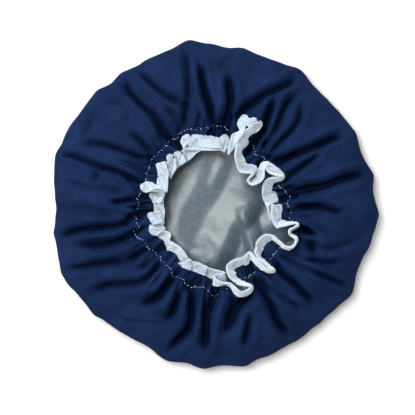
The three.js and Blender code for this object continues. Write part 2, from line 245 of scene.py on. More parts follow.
# Stations of the edge tape: hem x, y and lift over the elastic, then free edge x and y.
TAPE_STATIONS = [
    (2.9, 60.1, 2.6, 4.0, 50.7), (-2.7, 61.1, 3.2, -2.7, 50.7), (-9.8, 62.2, 3.4, -9.8, 51.4),
    (-16.0, 62.6, 3.4, -16.0, 51.5), (-20.2, 62.4, 3.2, -20.6, 51.7), (-22.1, 61.3, 2.4, -23.3, 53.0),
    (-24.4, 62.9, 4.0, -24.6, 54.6), (-27.1, 61.7, 4.6, -25.6, 52.8), (-29.2, 58.8, 4.2, -27.1, 50.6),
    (-29.5, 56.0, 2.6, -27.1, 48.9), (-25.4, 57.4, 1.0, -22.7, 48.9), (-16.9, 58.7, 0.6, -15.1, 49.0),
    (-6.2, 58.7, 0.6, -6.2, 48.9), (1.3, 58.7, 0.2, 1.8, 48.9), (4.1, 57.9, -1.0, 5.0, 48.5),
    (0.0, 57.9, -2.0, 0.0, 48.9), (-8.0, 58.1, -2.0, -8.0, 48.7), (-14.2, 57.6, -1.8, -12.9, 48.5),
    (-19.6, 55.6, -1.6, -16.0, 46.7), (-23.6, 52.7, -1.2, -19.6, 43.2), (-27.1, 50.3, -0.8, -23.1, 40.3),
    (-31.2, 48.0, -0.6, -27.1, 37.6), (-34.2, 45.8, 0.0, -29.7, 35.7), (-32.4, 45.8, 1.6, -28.5, 36.4),
    (-29.5, 46.9, 2.6, -26.0, 39.1), (-31.5, 48.1, 4.0, -27.9, 37.5), (-34.2, 48.0, 4.4, -30.6, 35.3),
    (-36.8, 45.5, 3.8, -32.8, 33.6), (-38.8, 43.5, 4.2, -34.2, 32.0), (-37.0, 43.2, 5.4, -34.2, 32.8),
    (-35.1, 42.6, 6.4, -34.0, 34.1), (-37.5, 45.0, 7.4, -35.2, 30.9), (-40.4, 45.5, 7.2, -37.7, 27.1),
    (-42.2, 43.3, 6.2, -39.3, 24.3), (-41.3, 40.5, 4.4, -39.5, 27.5), (-43.4, 39.1, 3.0, -39.9, 30.2),
    (-47.7, 34.6, 1.8, -40.6, 27.7), (-50.4, 30.2, 1.4, -41.1, 25.4), (-51.1, 32.5, 2.6, -41.8, 30.7),
    (-52.0, 36.1, 4.2, -43.8, 38.5), (-51.4, 32.8, 5.4, -42.4, 33.2), (-50.2, 28.7, 5.4, -41.1, 27.5),
    (-50.4, 24.1, 5.0, -41.5, 22.2), (-51.5, 18.6, 5.2, -42.0, 15.8), (-52.2, 15.2, 5.4, -42.9, 11.6),
    (-53.0, 17.2, 4.4, -44.6, 13.4), (-55.6, 19.8, 4.0, -53.0, 14.6), (-60.6, 21.2, 4.2, -60.6, 11.4),
    (-65.6, 17.6, 4.0, -65.0, 14.4), (-62.7, 18.6, 2.8, -61.6, 12.2), (-57.3, 17.0, 2.2, -55.0, 12.8),
    (-53.8, 15.2, 1.8, -46.4, 12.6), (-57.9, 9.9, 3.0, -45.0, 9.4), (-57.4, 6.9, 3.4, -46.2, 6.2),
    (-54.6, 3.0, 2.8, -47.5, 2.6), (-54.1, 4.5, 0.8, -45.9, 6.1), (-54.6, 4.0, -0.4, -45.7, 4.5),
    (-54.1, -0.8, -1.2, -45.6, -0.6), (-53.9, -4.9, -1.2, -44.7, -4.9), (-54.3, -9.0, -1.0, -45.0, -9.3),
    (-54.8, -13.4, -0.6, -45.0, -13.8), (-55.5, -15.2, 0.4, -45.2, -15.2),
    (-56.6, -11.1, 1.4, -46.8, -10.2), (-58.6, -7.2, 2.6, -49.0, -5.4), (-60.0, -8.5, 3.8, -49.5, -7.6),
    (-57.9, -12.5, 4.0, -48.1, -11.7), (-55.4, -16.3, 3.2, -46.5, -14.2),
    (-57.1, -15.2, 1.6, -46.1, -14.7), (-58.2, -17.7, 0.6, -45.7, -16.1),
    (-58.7, -20.6, 1.0, -45.7, -17.5), (-59.1, -22.7, 1.6, -45.0, -18.8),
    (-55.5, -26.1, 1.6, -43.8, -20.2), (-51.6, -26.9, 1.4, -43.9, -20.2),
    (-52.6, -26.0, -1.8, -44.6, -21.6), (-50.8, -27.4, -3.0, -43.6, -22.6),
    (-48.4, -28.9, -1.8, -41.4, -23.0), (-45.9, -30.5, -1.0, -39.7, -25.2),
    (-43.8, -32.7, -1.2, -39.9, -28.4), (-44.3, -33.6, -2.2, -40.0, -29.6),
    (-42.5, -37.5, -2.8, -38.6, -32.1), (-40.6, -39.4, -1.4, -36.3, -33.6),
    (-42.0, -38.9, 0.6, -37.6, -32.3), (-41.7, -39.4, 2.0, -37.0, -32.8),
    (-38.6, -40.3, 2.6, -32.9, -34.8), (-35.2, -42.1, 2.6, -29.7, -37.5),
    (-32.6, -44.9, 2.4, -26.9, -41.9), (-31.5, -48.1, 2.2, -24.4, -45.5),
    (-33.3, -51.7, 2.0, -23.3, -47.1), (-29.4, -54.0, 2.2, -23.3, -47.3),
    (-25.5, -55.6, 2.6, -22.1, -47.6), (-21.5, -57.0, 2.2, -21.0, -48.5),
    (-24.0, -56.5, 0.6, -22.2, -48.7), (-22.8, -56.9, -0.8, -21.4, -49.2),
    (-19.4, -57.8, -1.0, -18.2, -49.8), (-15.7, -59.4, 0.2, -13.7, -50.8),
    (-12.1, -60.8, 0.8, -9.8, -52.6), (-8.7, -62.0, 0.6, -6.4, -54.4), (-10.9, -61.5, -1.2, -7.7, -54.6),
    (-8.0, -62.4, -2.6, -5.3, -55.4), (-2.7, -65.0, -2.8, -0.9, -56.5), (3.6, -66.8, -2.4, 4.8, -57.8),
    (9.4, -67.7, -1.4, 8.9, -59.0), (6.2, -69.2, 0.4, 6.2, -59.7), (0.9, -70.6, 1.2, 1.4, -60.6),
    (-1.1, -70.4, 2.4, -1.1, -62.7), (2.1, -71.1, 3.6, 3.0, -66.3), (5.9, -70.2, 4.6, 7.7, -67.7),
    (10.0, -69.5, 5.0, 12.3, -68.1), (14.1, -72.2, 5.2, 15.8, -70.4), (16.7, -76.6, 5.2, 19.4, -73.2),
    (21.2, -80.4, 5.2, 23.0, -75.6), (26.0, -80.2, 5.2, 25.6, -74.8), (30.4, -77.7, 5.2, 29.0, -73.2),
    (32.9, -73.6, 5.2, 30.8, -71.8), (31.9, -70.7, 5.4, 29.0, -70.9), (27.4, -68.1, 5.4, 25.1, -70.0),
    (22.4, -66.1, 5.2, 20.6, -69.2), (18.7, -63.5, 4.6, 16.0, -66.3), (18.3, -59.7, 3.8, 12.3, -62.7),
    (16.6, -57.8, 3.0, 10.0, -57.0), (18.5, -55.6, 2.6, 10.1, -52.6), (21.2, -53.8, 2.4, 14.2, -48.9),
    (24.2, -52.1, 2.4, 19.4, -46.7), (27.8, -52.6, 2.6, 24.0, -45.7), (29.5, -51.2, 3.2, 27.2, -43.2),
    (30.6, -48.5, 3.8, 29.4, -40.7), (32.8, -48.1, 4.6, 32.2, -41.6), (35.8, -51.5, 5.2, 36.3, -46.4),
    (39.2, -55.1, 5.4, 40.6, -50.8), (43.4, -57.6, 5.4, 44.3, -54.2), (48.4, -59.0, 5.4, 47.9, -56.5),
    (52.5, -58.7, 5.4, 49.5, -57.2), (52.7, -56.9, 5.6, 49.3, -56.5), (48.4, -53.0, 5.6, 46.1, -54.0),
    (43.4, -48.5, 5.2, 41.8, -50.1), (40.4, -45.8, 4.4, 37.6, -45.8), (40.4, -43.2, 3.4, 35.2, -40.9),
    (42.0, -39.2, 2.8, 35.5, -36.9), (43.8, -35.3, 2.6, 36.7, -32.5), (46.5, -33.0, 2.8, 39.3, -28.6),
    (48.8, -30.9, 3.4, 43.1, -26.1), (51.3, -30.3, 4.0, 47.5, -25.5), (54.1, -32.1, 4.6, 52.3, -27.7),
    (57.3, -34.8, 5.0, 56.6, -31.2), (61.8, -38.0, 5.2, 61.2, -35.3), (65.9, -38.5, 5.2, 65.7, -36.9),
    (69.6, -36.0, 5.4, 68.7, -35.0), (72.1, -32.0, 5.4, 70.5, -31.6), (72.4, -28.7, 5.4, 70.0, -29.3),
    (69.6, -26.4, 5.4, 66.9, -27.1), (66.8, -24.1, 5.4, 65.1, -24.5), (67.5, -21.8, 5.4, 65.5, -21.6),
    (70.8, -20.0, 5.4, 68.7, -19.3), (73.7, -17.5, 5.4, 72.1, -17.0), (72.6, -15.6, 5.4, 71.0, -16.1),
    (68.4, -14.9, 5.0, 66.8, -16.5), (63.4, -14.2, 4.6, 61.9, -17.9), (59.5, -12.9, 4.0, 57.5, -18.8),
    (58.4, -11.5, 3.4, 54.5, -20.0), (58.4, -10.4, 3.4, 52.0, -17.4), (58.6, -7.2, 3.6, 50.2, -11.1),
    (59.0, -3.4, 3.8, 50.4, -4.4), (59.2, 0.4, 2.8, 50.2, 0.4), (58.0, -3.6, 1.2, 49.6, -4.6),
    (56.6, -8.4, 0.0, 49.0, -11.8), (53.0, -4.6, -1.2, 46.8, -5.8), (51.2, 0.4, -1.2, 45.6, -1.2),
    (55.8, 3.8, -1.2, 44.4, 1.8), (55.0, 8.0, -0.9, 42.7, 5.8), (53.8, 11.2, -0.5, 41.9, 9.6),
    (50.6, 12.2, 0.0, 41.6, 12.4), (50.6, 14.2, 0.3, 41.7, 15.6), (50.7, 16.8, 1.2, 42.4, 19.0),
    (52.0, 19.5, 2.4, 44.7, 22.5), (55.7, 21.6, 3.8, 49.3, 24.3), (59.1, 22.7, 4.6, 54.6, 24.8),
    (60.9, 24.8, 5.4, 57.1, 25.7), (60.3, 27.3, 6.6, 54.6, 26.1), (57.5, 30.9, 6.8, 50.9, 27.0),
    (53.8, 34.1, 6.4, 47.2, 28.9), (50.0, 36.8, 6.0, 44.5, 32.1), (46.6, 38.6, 5.8, 44.8, 34.0),
    (43.2, 38.4, 5.6, 43.6, 32.6), (40.6, 36.4, 5.4, 43.4, 31.2), (38.6, 32.4, 5.2, 43.2, 28.2),
    (37.4, 28.2, 5.0, 42.8, 24.4), (35.4, 24.8, 4.8, 40.2, 20.8), (32.8, 22.6, 4.6, 35.4, 18.6),
    (30.4, 21.8, 4.4, 32.2, 18.2), (29.2, 22.4, 4.2, 28.8, 21.4), (31.0, 24.2, 4.0, 29.0, 23.0),
    (34.0, 26.6, 4.0, 30.8, 25.4), (36.0, 29.4, 4.2, 32.0, 26.8), (37.2, 32.4, 4.4, 33.0, 27.6),
    (36.0, 35.0, 4.2, 32.6, 28.4), (32.6, 36.0, 3.8, 28.6, 28.4), (28.5, 36.6, 3.0, 24.6, 28.7),
    (27.4, 38.0, 2.6, 21.3, 30.3), (25.7, 41.6, 2.4, 18.9, 35.9), (24.0, 45.1, 2.2, 17.6, 40.5),
    (23.7, 48.3, 2.2, 17.3, 45.7), (24.9, 50.4, 2.4, 18.0, 50.3), (28.4, 53.2, 2.8, 19.2, 54.7),
    (29.6, 56.2, 3.4, 20.8, 58.3), (28.3, 59.2, 4.0, 22.6, 61.3), (31.2, 62.2, 4.6, 25.6, 64.8),
    (36.4, 65.0, 5.2, 30.0, 68.8), (39.2, 67.7, 5.4, 33.0, 71.4), (41.2, 71.2, 5.6, 34.8, 72.2),
    (39.4, 75.2, 5.8, 33.4, 70.6), (34.6, 77.9, 6.0, 31.0, 69.4), (29.2, 79.2, 6.0, 28.6, 69.8),
    (25.0, 80.0, 5.8, 27.2, 70.6), (21.5, 76.4, 5.6, 26.7, 68.9), (19.9, 72.5, 5.4, 26.3, 67.7),
    (21.5, 69.2, 5.0, 25.6, 65.8), (22.4, 66.1, 4.6, 23.9, 62.4), (18.9, 64.7, 4.0, 20.8, 58.1),
    (15.7, 63.3, 3.4, 18.0, 52.8), (13.9, 60.4, 3.0, 15.8, 49.0), (13.3, 57.4, 2.4, 11.9, 45.1),
    (12.8, 59.2, 1.2, 11.6, 47.3), (11.2, 61.3, 2.2, 11.0, 49.9), (8.9, 63.1, 3.2, 10.3, 51.0),
    (6.1, 61.7, 3.4, 8.9, 48.1), (4.5, 59.4, 2.6, 7.7, 47.1), (3.9, 58.5, 0.8, 6.2, 48.5),
]

# Ridges of the lining's floor: height, reach to the left and right, then points along the crest.
FLOOR_RIDGES = [
    (6.0, 21, 26, [(-4, 50), (-9, 40), (-14, 29), (-18, 18), (-24, 8), (-29, -2), (-32, -14),
        (-32, -26), (-27, -37), (-20, -47), (-14, -58), (-10, -68)]),
    (1.6, 6, 7, [(10, 44), (5, 34), (1, 24), (-2, 15)]),
    (8.0, 24, 13, [(42, 26), (36, 14), (30, 3), (25, -6), (18, -13), (12.5, -20), (9, -29),
        (5.5, -38), (1, -49), (-3, -60), (-6, -70)]),
    (6.8, 6, 11, [(24, 0), (25.5, -8), (27.5, -16), (30, -25), (33, -35), (35.5, -44), (37, -54),
        (38, -64)]),
    (0.9, 6, 6, [(-44, -16), (-38, -26), (-31, -33), (-23, -38), (-14, -41), (-5, -42)]),
    (2.4, 9, 9, [(62, -10), (50, -16), (41, -22), (33, -27)]),
    (4.0, 9, 30, [(-62, -4), (-55, -24), (-44, -40), (-28, -52), (-8, -59), (10, -63)]),
]


class Noise:
    """Smooth random hills over a plane, which repeat after a number of cells."""

    def __init__(self, seed, cells=CELLS):
        self.cells = cells
        self.table = np.random.default_rng(seed).uniform(-1, 1, (cells, cells))

    def at(self, x, y):
        i = np.floor(x).astype(int)
        j = np.floor(y).astype(int)
        u = x - i
        v = y - j
        u = u * u * u * (u * (u * 6 - 15) + 10)
        v = v * v * v * (v * (v * 6 - 15) + 10)
        n = self.cells
        a = self.table[i % n, j % n] * (1 - u) + self.table[(i + 1) % n, j % n] * u
        b = self.table[i % n, (j + 1) % n] * (1 - u) + self.table[(i + 1) % n, (j + 1) % n] * u
        return a * (1 - v) + b * v


def hills(x, y, layers):
    """The sum of several layers of random hills."""
    return sum(height * Noise(seed).at(x / size, y / size) for seed, size, height in layers)


def smooth_step(low, high, x):
    """0 at low, 1 at high, smooth between; low may be the larger."""
    t = np.clip((x - low) / (high - low), 0, 1)
    return t * t * (3 - 2 * t)


def bell(x):
    """1 at 0, falling away on both sides."""
    return np.exp(-(x**2))


def unit(vectors):
    """The vectors brought to length 1."""
    return vectors / (np.linalg.norm(vectors, axis=-1, keepdims=True) + 1e-12)


def closed(values):
    """The values with the first again at the end."""
    return np.concatenate([values, values[:1]])


def walked(points):
    """How far along a line each of its points lies."""
    return np.concatenate([[0], np.cumsum(np.linalg.norm(np.diff(points, axis=0), axis=1))])


def between(where, known, values):
    """Values, or rows of them, at places between the known ones."""
    if values.ndim == 1:
        return np.interp(where, known, values)
    return np.column_stack([np.interp(where, known, column) for column in values.T])


def smooth_run(values, window):
    """A run of values averaged over a window with soft ends."""
    kernel = np.hanning(window)
    return np.convolve(values, kernel / kernel.sum(), mode="same")


def along_curve(points, where, lap=False):
    """Points on a smooth curve through the given ones. The place 2.5 lies halfway past the third."""
    p = np.asarray(points, float)
    n = len(p)
    where = np.asarray(where, float)
    i = np.floor(where).astype(int)
    if not lap:
        i = np.clip(i, 0, n - 2)
    a, b, c, d = (p[(i + k) % n if lap else np.clip(i + k, 0, n - 1)] for k in (-1, 0, 1, 2))
    t0, t1, t2, t3 = np.cumsum(
        [0 * where] + [np.sqrt(np.linalg.norm(q - o, axis=-1)) + 1e-6 for o, q in ((a, b), (b, c), (c, d))],
        axis=0,
    )
    t = t1 + (t2 - t1) * (where - i)

    def mix(low, high, first, last):
        w = ((t - low) / (high - low))[..., None]
        return first * (1 - w) + last * w

    a1, a2, a3 = mix(t0, t1, a, b), mix(t1, t2, b, c), mix(t2, t3, c, d)
    return mix(t1, t2, mix(t0, t2, a1, a2), mix(t1, t3, a2, a3))


def around(table, bearing):
    """The value at a bearing in radians, from a table of degrees and values that closes on itself."""
    t = np.array(table, float)
    t = t[np.argsort(t[:, 0])]
    deg = np.degrees(bearing) % 360
    x = np.concatenate([t[-2:, 0] - 360, t[:, 0], t[:2, 0] + 360])
    y = np.concatenate([t[-2:, 1], t[:, 1], t[:2, 1]])
    slope = np.gradient(y, x)
    i = np.clip(np.searchsorted(x, deg, side="right") - 1, 0, len(x) - 2)
    h = x[i + 1] - x[i]
    u = (deg - x[i]) / h
    return (
        y[i] * (1 + 2 * u) * (1 - u) ** 2
        + slope[i] * h * u * (1 - u) ** 2
        + y[i + 1] * u * u * (3 - 2 * u)
        + slope[i + 1] * h * u * u * (u - 1)
    )


def rim_distance(bearing):
    """Distance of the outline: straight runs of cloth between its corners, the corners a little rounded."""
    t = np.array(RIM_CORNERS, float)
    at = np.radians(np.concatenate([t[-1:, 0] - 360, t[:, 0], t[:1, 0] + 360]))
    far = np.concatenate([t[-1:, 1], t[:, 1], t[:1, 1]])
    total = 0
    for lean, weight in ((-1.1, 1), (-0.55, 2), (0, 2), (0.55, 2), (1.1, 1)):
        b = (bearing + math.radians(lean) - at[0]) % LAP + at[0]
        k = np.clip(np.searchsorted(at, b, side="right") - 1, 0, len(at) - 2)
        top = far[k] * far[k + 1] * np.sin(at[k + 1] - at[k])
        total = total + weight * top / (far[k] * np.sin(b - at[k]) + far[k + 1] * np.sin(at[k + 1] - b))
    return total / 8


def grid_normals(p):
    """Unit normals of a grid of rows by columns, the columns going round."""
    across = np.roll(p, -1, axis=1) - np.roll(p, 1, axis=1)
    return unit(np.cross(np.gradient(p, axis=0), across))


def soften(grid, times=2):
    """A grid of values with its sharpest corners rounded, the columns going round."""
    for _ in range(times):
        grid = grid * 0.5 + (np.roll(grid, 1, axis=-1) + np.roll(grid, -1, axis=-1)) * 0.25
    return grid


def profile_rows():
    """Mean profile of the laid cloth at its rows: reach, height and walk."""
    roof = MEAN_RIM - RIM_TURN - MEAN_RING
    points = [(MEAN_RING + roof * share, z) for share, z in ROOF_PROFILE]
    points += [(MEAN_RIM - inset, z) for inset, z in RIM_PROFILE]
    fine = along_curve(points, np.linspace(0, len(points) - 1, 2000))
    walk = walked(fine)
    steps = np.concatenate([np.linspace(*CLOSE_STEPS, CLOSE_ROWS), np.full(EVEN_ROWS, EVEN_STEP)])
    rows = np.concatenate([[0], np.cumsum(steps)])
    rows = rows / rows[-1] * walk[-1]
    return *between(rows, walk, fine).T, rows


def laid_profile(bearing, reach):
    """Distance from the middle at each row and bearing, before the folds."""
    ring = around(RING_SHAPE, bearing)
    rim = rim_distance(bearing)
    flat = MEAN_RIM - RIM_TURN
    share = ((reach - MEAN_RING) / (flat - MEAN_RING))[:, None]
    roof = ring + (rim - RIM_TURN - ring) * share
    turned = rim - (MEAN_RIM - reach)[:, None]
    on_roof = (reach <= flat) & (np.arange(len(reach)) <= np.argmax(reach))
    return np.where(on_roof[:, None], roof, turned)


def puckers():
    """The small gathers that start at the elastic between the deeper folds, as more folds."""
    rng = np.random.default_rng(11)
    ends = [path[-1] - MIDDLE for depth, _, path in FOLDS if depth > DEEP_FOLD]
    taken = np.array([math.atan2(y, x) for x, y in ends])
    bearing, made = 0.0, []
    while bearing < LAP:
        bearing += rng.uniform(0.7, 1.3) * PUCKER_SPACING / MEAN_RING
        apart = (taken - bearing + np.pi) % LAP - np.pi
        if np.abs(apart).min() * MEAN_RING < PUCKER_GAP:
            continue
        start = float(around(RING_SHAPE, np.array([bearing]))[0])
        length = rng.uniform(7, 17) if rng.uniform() < 0.72 else rng.uniform(18, 34)
        lean = rng.normal(0, 0.16)
        path = []
        for share in (1.0, 0.66, 0.33, 0.0, -0.25):
            far = start + length * share
            way = bearing + (lean * length * share + rng.normal(0, 0.35)) / far
            path.append(MIDDLE + far * np.array([math.cos(way), math.sin(way)]))
        made.append((rng.uniform(1.8, 3.6) + length * 0.045, rng.uniform(0.9, 1.5) + length * 0.018, path))
    return made


def fold_relief(x, y):
    """How far the folds move the cloth along its normal: sharp valleys with round shoulders."""
    out = np.zeros(x.size)
    points = np.column_stack([x.ravel(), y.ravel()])
    for depth, half, path in FOLDS + puckers():
        line = along_curve(path, np.linspace(0, len(path) - 1, max(6 * len(path), 20)))
        low, high = line.min(axis=0) - 5 * half, line.max(axis=0) + 5 * half
        pick = np.flatnonzero(np.all((points > low) & (points < high), axis=1))
        if not len(pick):
            continue
        close = points[pick]
        near = np.hypot(*(close[:, None] - line).transpose(2, 0, 1)).argmin(axis=1)
        walk = walked(line)
        way = unit(np.gradient(line, axis=0))[near]
        gap = close - line[near]
        far = np.abs(gap[:, 0] * way[:, 1] - gap[:, 1] * way[:, 0])
        at = walk[near] + (gap * way).sum(axis=1)
        grow = smooth_step(-1.2 * half, min(0.45 * walk[-1], 4.5 * half), at)
        to_ring = np.linalg.norm(path[-1] - MIDDLE) < RING_REACH
        last = smooth_step(walk[-1] + 2.4 * half, walk[-1] - (0 if to_ring else 3 * half), at)
        width = half * (0.72 + 0.28 * grow)
        valley = np.exp(-(((np.sqrt(far**2 + 0.16) - 0.4) / width) ** 1.2))
        shoulder = 0.34 * bell((far - 2.5 * width) / (1.15 * width))
        out[pick] += depth * FOLD_STRENGTH * (shoulder - valley) * grow * last
    return out.reshape(x.shape)


def under_valleys(relief):
    """The lowest relief close by, softened: the lining hangs under the folds without filling them."""
    low = np.min([np.roll(relief, shift, axis=1) for shift in (-4, -2, -1, 0, 1, 2, 4)], axis=0)
    low = np.min([low, np.vstack([low[:1], low[:-1]]), np.vstack([low[1:], low[-1:]])], axis=0)
    return soften(low, 6)


def fine_creases(lap, past):
    """Small sharp creases that run out from the elastic and fade, and the shade painted along each."""
    turns = lap * CELLS
    drift = Noise(51, 24).at(lap * 24 + 0 * past, past / 30 + 1.7) * 1.6
    first = np.abs(Noise(52).at(turns + drift, past / 22 + 5.1))
    second = np.abs(Noise(53).at(turns * 2 - drift, past / 15 + 2.9))
    fade = 0.36 + 0.64 * smooth_step(52, 2, past)
    patch = 0.45 + 0.55 * smooth_step(-0.3, 0.4, Noise(54, 19).at(lap * 19, past / 40 + 0.7))
    depth = -np.exp(-first / 0.13) * 0.75 * fade * patch
    depth = depth - np.exp(-second / 0.16) * 0.42 * smooth_step(26, 0, past)
    # the second value is the shade painted into the creases
    return depth, np.clip(-depth * 0.22, 0, 1)


def laid_cloth(bearing):
    """The laid cloth from the elastic over the rim to the crown's edge.

    Grids of the cover's outer face and the lining's, the shade painted at each point, how deep the folds
    are at the elastic, and how far along the cloth each row lies.
    """
    reach, level, walk = profile_rows()
    distance = laid_profile(bearing, reach)
    x = MIDDLE[0] + distance * np.cos(bearing)
    y = MIDDLE[1] + distance * np.sin(bearing)
    base = np.stack([x, y, level[:, None] + 0 * distance], axis=-1)
    normals = grid_normals(base)
    past = distance - around(RING_SHAPE, bearing)
    lap = bearing[None, :] / LAP
    # how far each row lies beyond the outline, so that the folds can end as the cloth turns under
    under = (walk - walk[int(np.argmax(reach))])[:, None]
    depth = np.clip(soften(fold_relief(x, y)), *FOLD_LIMITS) * smooth_step(8, -8, under)
    relief = depth * (0.68 + 0.32 * smooth_step(0, 8, past))
    puff = hills(x, y, ROOF_HILLS) + Noise(57, 48).at(lap * 48 + distance / 90, distance / 42 + 2.2) * 1.5
    puff = puff * smooth_step(0, 18, past) * smooth_step(22, -6, under)
    rim_wave = Noise(5).at(lap * CELLS + 0 * distance, distance / 60 + 3.3) * 0.25
    rim_wave = rim_wave * smooth_step(-12, 0, under) * smooth_step(30, 12, under)
    crease, line = fine_creases(lap, past)
    crease = crease * smooth_step(10, -10, under)
    slack = under_valleys(relief) - LINER_SLACK * smooth_step(6, 16, past) - relief
    slack = slack * smooth_step(0, 9, past)
    faces = []
    lifts = [
        relief + puff + rim_wave + crease,
        relief + slack + puff + rim_wave + np.minimum(crease, 0),
    ]
    for lift in lifts:
        face = base + normals * lift[..., None]
        face[..., 2] = np.maximum(face[..., 2], LOWEST)
        faces.append(face)
    # painted shade, darkest in the deepest fold valleys, with the fine creases' painted shade on top
    laid_painted_shade = np.clip(-depth / 4.5, 0, 1) ** 2.5 + line * smooth_step(8, -8, under)
    return *faces, np.clip(laid_painted_shade, 0, 1), depth[0], walk


def tape_path(columns):
    """The tape's hem, free edge and bearing on the elastic at evenly spread columns, and its length."""
    s = np.array(TAPE_STATIONS, float)
    hem = np.column_stack([s[:, :2], RING_HEIGHT + s[:, 2]])
    out = hem[:, :2] - MIDDLE
    past = np.linalg.norm(out, axis=1) - around(RING_SHAPE, np.arctan2(out[:, 1], out[:, 0]))
    hem[:, 2] += 2.2 * smooth_step(-3, 5, past)
    plan = np.linalg.norm(s[:, :2] - s[:, 3:], axis=1)
    rise = np.sqrt(np.maximum(TAPE_WIDTH**2 - plan**2, 0))
    stations = np.column_stack([hem, s[:, 3:], hem[:, 2] + rise])
    n = len(stations)
    places = np.arange(n * STATION_STEPS + 1) / STATION_STEPS
    fine = along_curve(stations, places[:-1], lap=True)
    walk = walked(closed((fine[:, :3] + fine[:, 3:]) / 2))
    spot = np.interp(np.arange(columns) / columns * walk[-1], walk, places)
    both = along_curve(stations, spot % n, lap=True)
    hem, free = both[:, :3], both[:, 3:]
    bearing = np.unwrap(np.arctan2(hem[:, 1] - MIDDLE[1], hem[:, 0] - MIDDLE[0]))
    return hem, free, steady(bearing), walk[-1]


def steady(values):
    """The nearest run of bearings that never falls, kept at least a little apart."""
    n = len(values)
    three = np.concatenate([values - LAP, values, values + LAP])
    tops = np.maximum.accumulate(three)
    floors = np.minimum.accumulate(three[::-1])[::-1]
    soft = smooth_run((tops + floors) / 2, 31)[n : 2 * n]
    even = np.arange(n) / n * LAP
    return soft * 0.86 + (even + (soft - even).mean()) * 0.14


def frill_cloth(ring_row, gather, bearing):
    """The frill between the elastic and the edge, from the free edge outwards.

    Its grid, the lining's, which hangs a little lower except where a loop of the edge stands open, the
    shade painted into its puckers, and at which bearings it meets the elastic.
    """
    hem, free, meets, _ = tape_path(FRILL_COLUMNS)
    angle = meets % LAP
    known = np.append(bearing, LAP)
    root = between(angle, known, closed(ring_row))
    pucker = between(angle, known, closed(gather))
    outward = np.column_stack([np.cos(angle), np.sin(angle), 0 * angle])
    span = np.linalg.norm(hem - root, axis=1, keepdims=True)
    over = smooth_step(-3, 4, ((hem - root) * outward).sum(axis=1, keepdims=True))
    plan = np.linalg.norm(free[:, :2] - hem[:, :2], axis=1)
    standing = soften(smooth_step(6.8, 4.4, plan), 30)
    climb = 0.55 + 2.4 * over * standing[:, None]
    leave = (-0.75 * (1 - over) * outward + climb * UP) * span * (0.95 - 0.35 * over)
    arrive = unit(free - hem) * span * 0.75 * (1 - over)
    rows = [hem + (free - hem) * share for share in TAPE_SHARES]
    for t in FRILL_SHARES:
        rows.append(
            root * (1 - t) ** 2 * (1 + 2 * t)
            + leave * t * (1 - t) ** 2
            + hem * t * t * (3 - 2 * t)
            - arrive * t * t * (1 - t)
        )
    grid = np.array(rows)
    normals = grid_normals(grid)
    steps = np.arange(FRILL_COLUMNS) / FRILL_COLUMNS * CELLS
    flute = Noise(8)
    sway = 1 - 3.2 * np.abs(flute.at(steps * 2, 0 * steps + 5.2)) + 0.8 * flute.at(steps, 0 * steps + 2.2)
    first = len(TAPE_SHARES)
    turned_over = normals[first:, :, 2].min(axis=0) < 0.12
    doubled = np.clip(soften(turned_over * 1.0, 40) * 2.0, 0, 1)
    painted_pucker_shade = np.zeros(grid.shape[:2])
    for k, t in enumerate(FRILL_SHARES, first):
        strength = math.sin(math.pi * (1 - t) ** 0.7) ** 0.6
        own = 1.15 * sway * strength * (1 - 0.92 * doubled)
        drawn = 0.24 * pucker * (1 - t) ** 0.8 * smooth_step(0, 0.3, t) * (1 - 0.8 * doubled)
        grid[k] += normals[k] * (own + drawn)[:, None]
        grid[k, :, 2] -= 4.2 * doubled * (1 - standing) * math.sin(math.pi * t) ** 0.7
        # painted shade in the valleys of the frill's puckers, less where the frill lies doubled
        painted_pucker_shade[k] = np.clip(-sway * strength / 1.5 * (1 - doubled) - pucker / 5.0 * (1 - t) ** 0.7, 0, 1)
    lower = grid.copy()
    sag = LINER_SAG * smooth_step(first - 1, first + 1.5, np.arange(len(grid)))[:, None]
    lower[..., 2] -= sag * (1 - over[:, 0] * standing)
    return grid, lower, painted_pucker_shade, meets


